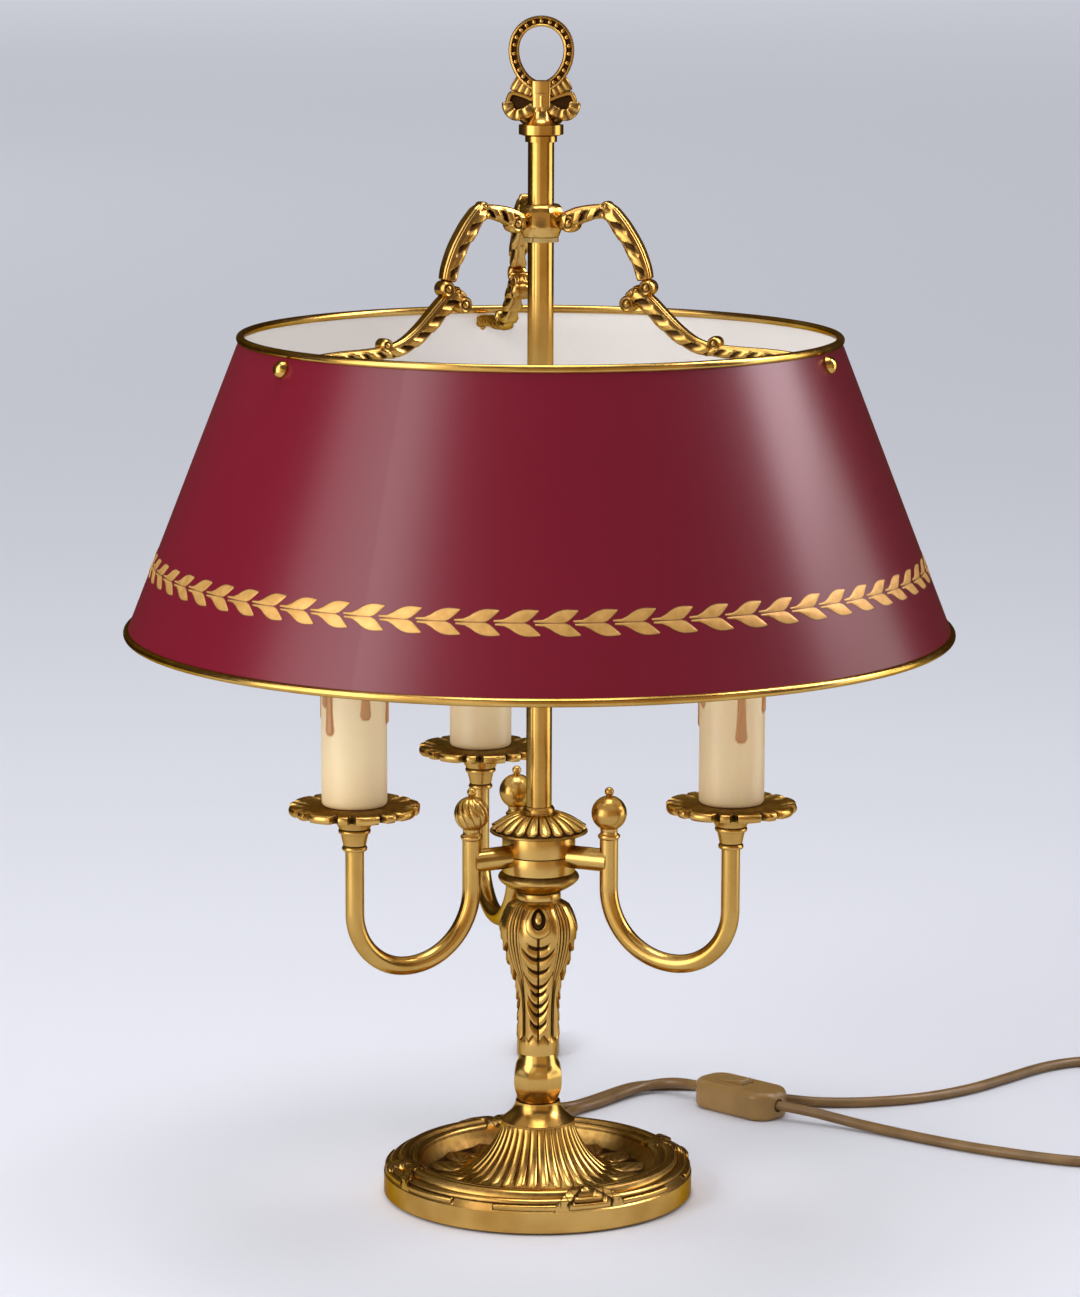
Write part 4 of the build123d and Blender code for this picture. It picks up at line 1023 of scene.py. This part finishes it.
bow_blocks = []
for way in (-1, 1):
    lower_loop = [(way * 3.0, 597.0), (way * 8.5, 593.2), (way * 13.8, 592.4)]
    lower_loop += [(way * 17.0, 595.2), (way * 17.8, 599.5)]
    loop_edge = [(way * 18.0, 598.6), (way * 15.8, 603.4), (way * 10.5, 602.6), (way * 4.0, 600.0)]
    lower_hollow_shade = [(way * 4, 598.5), (way * 11, 598.8), (way * 17, 599.4)]
    upper_hollow_shade = [(way * 3, 602.8), (way * 9, 603.6), (way * 14, 605.0)]
    upper_loop = [(way * 4.4, 604.8), (way * 9.6, 607.2), (way * 14.6, 610.2)]
    inner_tail = [(way * 0.9, 596.5), (way * 2.2, 591.8), (way * 4.2, 587.4)]
    outer_tail = [(way * 5.5, 594), (way * 7.6, 590.5), (way * 9.8, 587.4)]
    bow_blocks += [
        ribbon(lower_loop, 3.3, 2.9, 5),
        ribbon(loop_edge, 1.35, 2.7, 0),
        # The two hollow ribbons, with no shine, are dark sheets of painted shade inside the loops; the outer
        # tail's low shine is painted shade too.
        ribbon(lower_hollow_shade, 3.9, 1.0, 0, 0.0),
        ribbon(upper_hollow_shade, 3.4, 0.9, 0, 0.0),
        ribbon(upper_loop, 4.8, 2.1, 4),
        ribbon(inner_tail, 2.3, 2.7, 0),
        ribbon(outer_tail, 2.4, 1.8, 3, 0.25),
    ]
bow_blocks += [
    ribbon([(0, 610.4), (0, 606.6), (0, 602.9)], 5.6, 4.2, 0),
    ribbon([(0, 604.0), (0, 600.0), (0, 596.0)], 5.4, 4.4, 0),
    ribbon([(0, 602.6), (0, 599.4), (0, 596.4)], 1.3, 4.9, 0),
    # A dim strip between the tails: painted shade.
    ribbon([(0, 606.0), (0, 595.0), (0, 587.2)], 3.2, 1.8, 0, 0.1),
]
chased("finial_bow", *bow_blocks)

# ---- Shade ----
# The shade is rolled steel sheet, stove enamelled dark red outside and painted cream inside, with a
# gold laurel band. A brass bead is pressed on each edge.
lower_edge = (222.45, 315.75)
upper_edge = (160.55, 473.85)
sheet_half = 0.3
slope = math.atan2(lower_edge[0] - upper_edge[0], upper_edge[1] - lower_edge[1])
wall_rows = 12


def off_wall(level, off):
    """The radius and the level of a point that far outside the middle of the sheet."""
    share = (level - lower_edge[1]) / (upper_edge[1] - lower_edge[1])
    radius = lower_edge[0] + share * (upper_edge[0] - lower_edge[0])
    return radius + off * math.cos(slope), level + off * math.sin(slope)


def enamel(name, light, dark, roughness):
    """A sprayed and stoved paint, even, with a trace of orange peel."""
    made, tree, shader = finish(name)
    colour = ramp(tree, noise(tree, 9.0, 4.0), (0.3, dark), (0.7, light))
    haze = spread(tree, noise(tree, 12.0), roughness - 0.01, roughness + 0.01)
    settle(shader, {"Specular IOR Level": 0.34})
    skin(tree, shader, colour, haze, noise(tree, 700.0, 2.0), 0.01, 0.00005)
    return made


red_enamel = enamel("red_enamel", (0.178, 0.0040, 0.018), (0.166, 0.0036, 0.016), 0.29)
cream_enamel = enamel("cream_enamel", (0.97, 0.94, 0.90), (0.95, 0.92, 0.87), 0.55)
wall_step = (upper_edge[1] - lower_edge[1]) / wall_rows
outside = [off_wall(lower_edge[1] + row * wall_step, sheet_half) for row in range(wall_rows + 1)]
inside = [off_wall(upper_edge[1] - row * wall_step, -sheet_half) for row in range(wall_rows + 1)]
shade_rows = turned(outside + inside, 360)
shade_sheet = surface("shade_sheet", [(shade_rows, True)], "shade", red_enamel)
shade_sheet.data.materials.append(cream_enamel)
for face in shade_sheet.data.polygons:
    outwards = face.normal.x * face.center.x + face.normal.y * face.center.y
    face.material_index = 0 if outwards > 0 else 1
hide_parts("shade_wall")
for node in ("shade_lower_bead", "shade_upper_bead", "shade_screws", "shade_nuts"):
    dress(node, plain_brass)

laurel_pairs = 66
laurel_level = 353.0
# A leaf's outline, as the run along the band, then its inner and outer edge off the band's middle line.
leaf_outline = [(0.0, 0.60, 1.10), (4.5, 0.40, 1.45), (7.5, 0.30, 2.90), (10.0, 0.25, 4.60)]
leaf_outline += [(12.5, 0.25, 5.85), (14.9, 0.30, 6.50), (17.0, 1.10, 6.65), (19.0, 2.75, 6.55)]
leaf_outline += [(20.8, 4.45, 6.40), (22.3, 5.95, 6.25)]
dark_edge = 0.45


def laurel_leaf(start, way):
    """One leaf above or below the middle line of the band, thin, with a darker line round it."""
    band_radius = off_wall(laurel_level, 0.0)[0]
    rows = []
    for along, inner, outer in leaf_outline:
        middle = (inner + outer) / 2
        spots = [
            (inner - dark_edge, 0.04, 0.0),
            (inner, 0.12, 0.35),
            (inner + 0.25 * (outer - inner), 0.26, 1.0),
            (middle, 0.34, 1.0),
            (outer - 0.25 * (outer - inner), 0.26, 1.0),
            (outer, 0.12, 0.35),
            (outer + dark_edge, 0.04, 0.0),
            (middle, 0.0, 0.0),
        ]
        angle = start + along / band_radius
        row = []
        for up, proud, high in spots:
            radius, height = off_wall(laurel_level + way * up * math.cos(slope), sheet_half + proud)
            row.append((radius * math.cos(angle), radius * math.sin(angle), height, high))
        rows.append(row)
    return (rows, False)


def gilding(name):
    """Gold size and leaf on the enamel, thinner and redder at the edge of each leaf."""
    made, tree, shader = finish(name)
    gold = ramp(tree, noise(tree, 180.0, 4.0), (0.3, (0.52, 0.27, 0.060)), (0.7, (0.68, 0.38, 0.10)))
    full = ramp(tree, polish(tree), (0.05, (0, 0, 0)), (0.5, (1, 1, 1)))
    colour = blend(tree, full, (0.085, 0.010, 0.008, 1.0), gold)
    haze = spread(tree, noise(tree, 240.0), 0.38, 0.55)
    settle(shader, {"Metallic": 0.35})
    skin(tree, shader, colour, haze, noise(tree, 900.0), 0.1, 0.0001)
    return made


gilt = gilding("laurel_gilding")
laurel_blocks = []
for pair in range(laurel_pairs):
    angle = math.tau * (pair + 0.35) / laurel_pairs
    laurel_blocks.append(laurel_leaf(angle, 1))
    laurel_blocks.append(laurel_leaf(angle + 0.004, -1))
surface("laurel_band", laurel_blocks, "shade", gilt, corner=60.0)

# ---- Shade spider ----
# Three cast arms, each of leafy scrolls that meet at curls, run from the collar on the rod to the shade
# screws. The collar turns and slides on a split bush, and a set screw holds it.
dress("collar_set_screw", plain_brass)
dress("collar_bush", plastic("bush_plastic", (0.55, 0.36, 0.10), (0.48, 0.31, 0.08), 0.4))
spider_azimuths = {"right": -24.0, "back": 102.0, "left": 216.0}
upwards = Vector((0.0, 0.0, 1.0))
collar_line = [(8.3, 527.5), (9.3, 527.5), (9.9, 528.2), (11.0, 531.0), (12.1, 532.8), (12.4, 533.6)]
collar_line += [(12.4, 534.6), (12.4, 540.6), (12.2, 541.8), (11.4, 543.4), (10.2, 544.5), (9.4, 545.0)]
collar_line.append((8.3, 545.0))
collar_rows = turned(collar_line, 160, eight_sided(538.5, 3.2, 3.0))
collar = surface("spider_hub", [(collar_rows, True)], "shade", carved_brass, corner=24.0)
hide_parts("spider_collar")

# Angles round a scroll's section: the groove in its smooth strip, and where the leaves start.
strip_groove, strip_edge = 0.50, 0.88
bar_width = 1.15
leaf_cut = 0.44


def arm_ways(azimuth):
    """The way along an arm, from the rod outwards, and the way across it."""
    way = Vector((math.cos(azimuth), math.sin(azimuth), 0.0))
    side = Vector((-math.sin(azimuth), math.cos(azimuth), 0.0))
    return way, side


def leafy_bar(points, azimuth, widths, leaf_pitch):
    """A scroll: two smooth ridges on its outer side and cut leaflets on its inner side."""
    way, side = arm_ways(azimuth)
    path = [radius * way + height * upwards for radius, height in drawn_line(points, 16)]
    reach = [0.0]
    for before, after in zip(path, path[1:]):
        reach.append(reach[-1] + (after - before).length)

    def section(share):
        """The scroll's section at a share of its path."""
        place = share * (len(path) - 1)
        span = share * (len(widths) - 1)
        first = min(int(span), len(widths) - 2)
        thick = widths[first] + (widths[first + 1] - widths[first]) * (span - first)
        end = min(place, len(path) - 1 - place) / 4.0
        thick *= math.sqrt(max(0.02, 1.0 - max(0.0, 1.0 - end) ** 2))
        ring = []
        for step in range(48):
            angle = math.tau * step / 48
            across, away = math.sin(angle), math.cos(angle)
            turn = abs((angle + math.pi) % math.tau - math.pi)
            square = (abs(across) ** 3 + abs(away) ** 3) ** (-1 / 3)
            # Dark in the groove, the leaflet cuts and the seam: painted shade with patina.
            if turn < strip_edge:
                groove = 1.0 - smooth_step(0.04, 0.13, abs(turn - strip_groove))
                off, high = 1.02 - 0.10 * groove, 1.0 - 0.6 * groove
            else:
                wave = (reach[round(place)] / leaf_pitch + 0.36 * (turn - strip_edge)) % 1.0
                cut = max(0.0, 1.0 - wave / 0.60) ** 0.7 * smooth_step(0.0, 0.06, wave)
                fade = smooth_step(strip_edge + 0.06, strip_edge + 0.42, turn)
                fade *= 1.0 - 0.8 * smooth_step(2.2, 2.7, turn)
                seam = 1.0 - smooth_step(0.0, 0.10, turn - strip_edge)
                off = 1.0 - leaf_cut * cut * fade - 0.08 * seam
                high = (1.0 - min(1.0, 1.7 * cut * fade)) * (1.0 - 0.85 * seam)
            off *= thick * square
            ring.append((bar_width * off * across, off * away, high))
        return ring

    return (swept(path, -side, section), False)


def scroll_eye(radius, height, azimuth, size, width):
    """A curl's rolled end: a short drum across the arm with a sunk ring and a boss on both faces."""
    way, side = arm_ways(azimuth)
    middle = radius * way + height * upwards
    # The sunk ring is dark: painted shade with patina.
    face = [(0.05, 1.12, 1.0), (0.34, 1.05, 1.0), (0.46, 0.86, 0.1), (0.60, 0.90, 0.2)]
    face += [(0.80, 1.0, 1.0), (1.0, 0.78, 1.0), (1.06, 0.3, 0.9)]
    outline = [(reach, -across, high) for reach, across, high in face] + face[::-1]
    rows = []
    for reach, across, high in outline:
        row = []
        for step in range(24):
            angle = math.tau * step / 24
            spin = size * reach * (math.cos(angle) * way + math.sin(angle) * upwards)
            row.append((*(middle + across * width * side + spin), high))
        rows.append(row)
    return (rows, False)


# The lines of the four scrolls, from the rod outwards.
upper_scroll = [(10.5, 534.6), (15.5, 536.6), (22.0, 539.4), (29.0, 541.4), (35.5, 542.2), (39.5, 541.2)]
falling_scroll = [(38.0, 545.0), (41.0, 541.4), (47.2, 534.0), (54.4, 523.4), (59.0, 513.2), (60.8, 506.5)]
lower_scroll = [(51.5, 496.0), (56.6, 498.6), (63.2, 494.0), (71.4, 486.3), (80.0, 479.2), (89.0, 473.9)]
lower_scroll.append((99.0, 470.9))
end_scroll = [(96.0, 471.6), (112.0, 470.4), (130.0, 470.0), (148.0, 468.6), (162.4, 466.4)]
# Each scroll with its thickness along its line and the pitch of its leaves.
scrolls = [
    (upper_scroll, (3.2, 4.9, 4.8, 4.1, 3.8, 3.4), 8.8),
    (falling_scroll, (2.8, 4.6, 4.9, 4.7, 4.4, 3.9), 13.5),
    (lower_scroll, (3.4, 4.5, 4.8, 4.7, 4.4, 4.0, 3.6), 12.0),
    (end_scroll, (3.2, 3.5, 3.4, 3.3, 3.2), 9.0),
]
# Each curl's reach from the rod, its level, its radius and half its width.
curls = [(62.5, 502.9, 4.2, 4.6), (57.2, 501.2, 2.8, 5.2), (51.7, 494.0, 4.4, 4.8)]
curls += [(101.0, 475.2, 3.5, 4.2), (38.6, 545.0, 2.7, 3.6), (17.6, 535.4, 4.7, 4.9)]
for arm, azimuth in spider_azimuths.items():
    turn = math.radians(azimuth)
    blocks = [leafy_bar(points, turn, widths, pitch) for points, widths, pitch in scrolls]
    blocks += [scroll_eye(radius, height, turn, size, width) for radius, height, size, width in curls]
    piece = surface(f"spider_{arm}", blocks, "shade", carved_brass, corner=50.0)
    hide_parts(f"spider_arm_{arm}")

# ---- Inside and under the foot ----
# A cast iron weight, a washer and a nut on the nipple hold the stack down, and a felt pad glued under
# the foot covers them. Two-core flex runs from the foot up through the hub to each lampholder.


def grainy(name, light, dark, grain, roughness, depth, metal=0.0):
    """A dull, grainy finish, such as felt or cast iron."""
    made, tree, shader = finish(name)
    colour = ramp(tree, noise(tree, grain, 5.0), (0.3, dark), (0.7, light))
    haze = spread(tree, noise(tree, grain), roughness - 0.08, roughness + 0.05)
    settle(shader, {"Metallic": metal})
    skin(tree, shader, colour, haze, noise(tree, 2.0 * grain, 4.0), 0.6, depth)
    return made


felt = grainy("felt", (0.030, 0.024, 0.018), (0.020, 0.016, 0.012), 900.0, 0.92, 0.0005)
cast_iron = grainy("cast_iron", (0.050, 0.050, 0.052), (0.030, 0.030, 0.032), 300.0, 0.7, 0.0004, 0.6)
steel = grainy("zinc_steel", (0.60, 0.60, 0.62), (0.48, 0.49, 0.52), 200.0, 0.35, 0.00005, 1.0)
sheath = plastic("wire_sheath", (0.045, 0.030, 0.016), (0.032, 0.021, 0.011), 0.45)
dress("foot_felt", felt)
dress("foot_weight", cast_iron)
for node in ("foot_washer", "foot_nut", "switch_screws"):
    dress(node, steel)
dress("arm_wires", sheath)
dress("supply_lead", sheath)
dress("plug_pins", cap_finish)
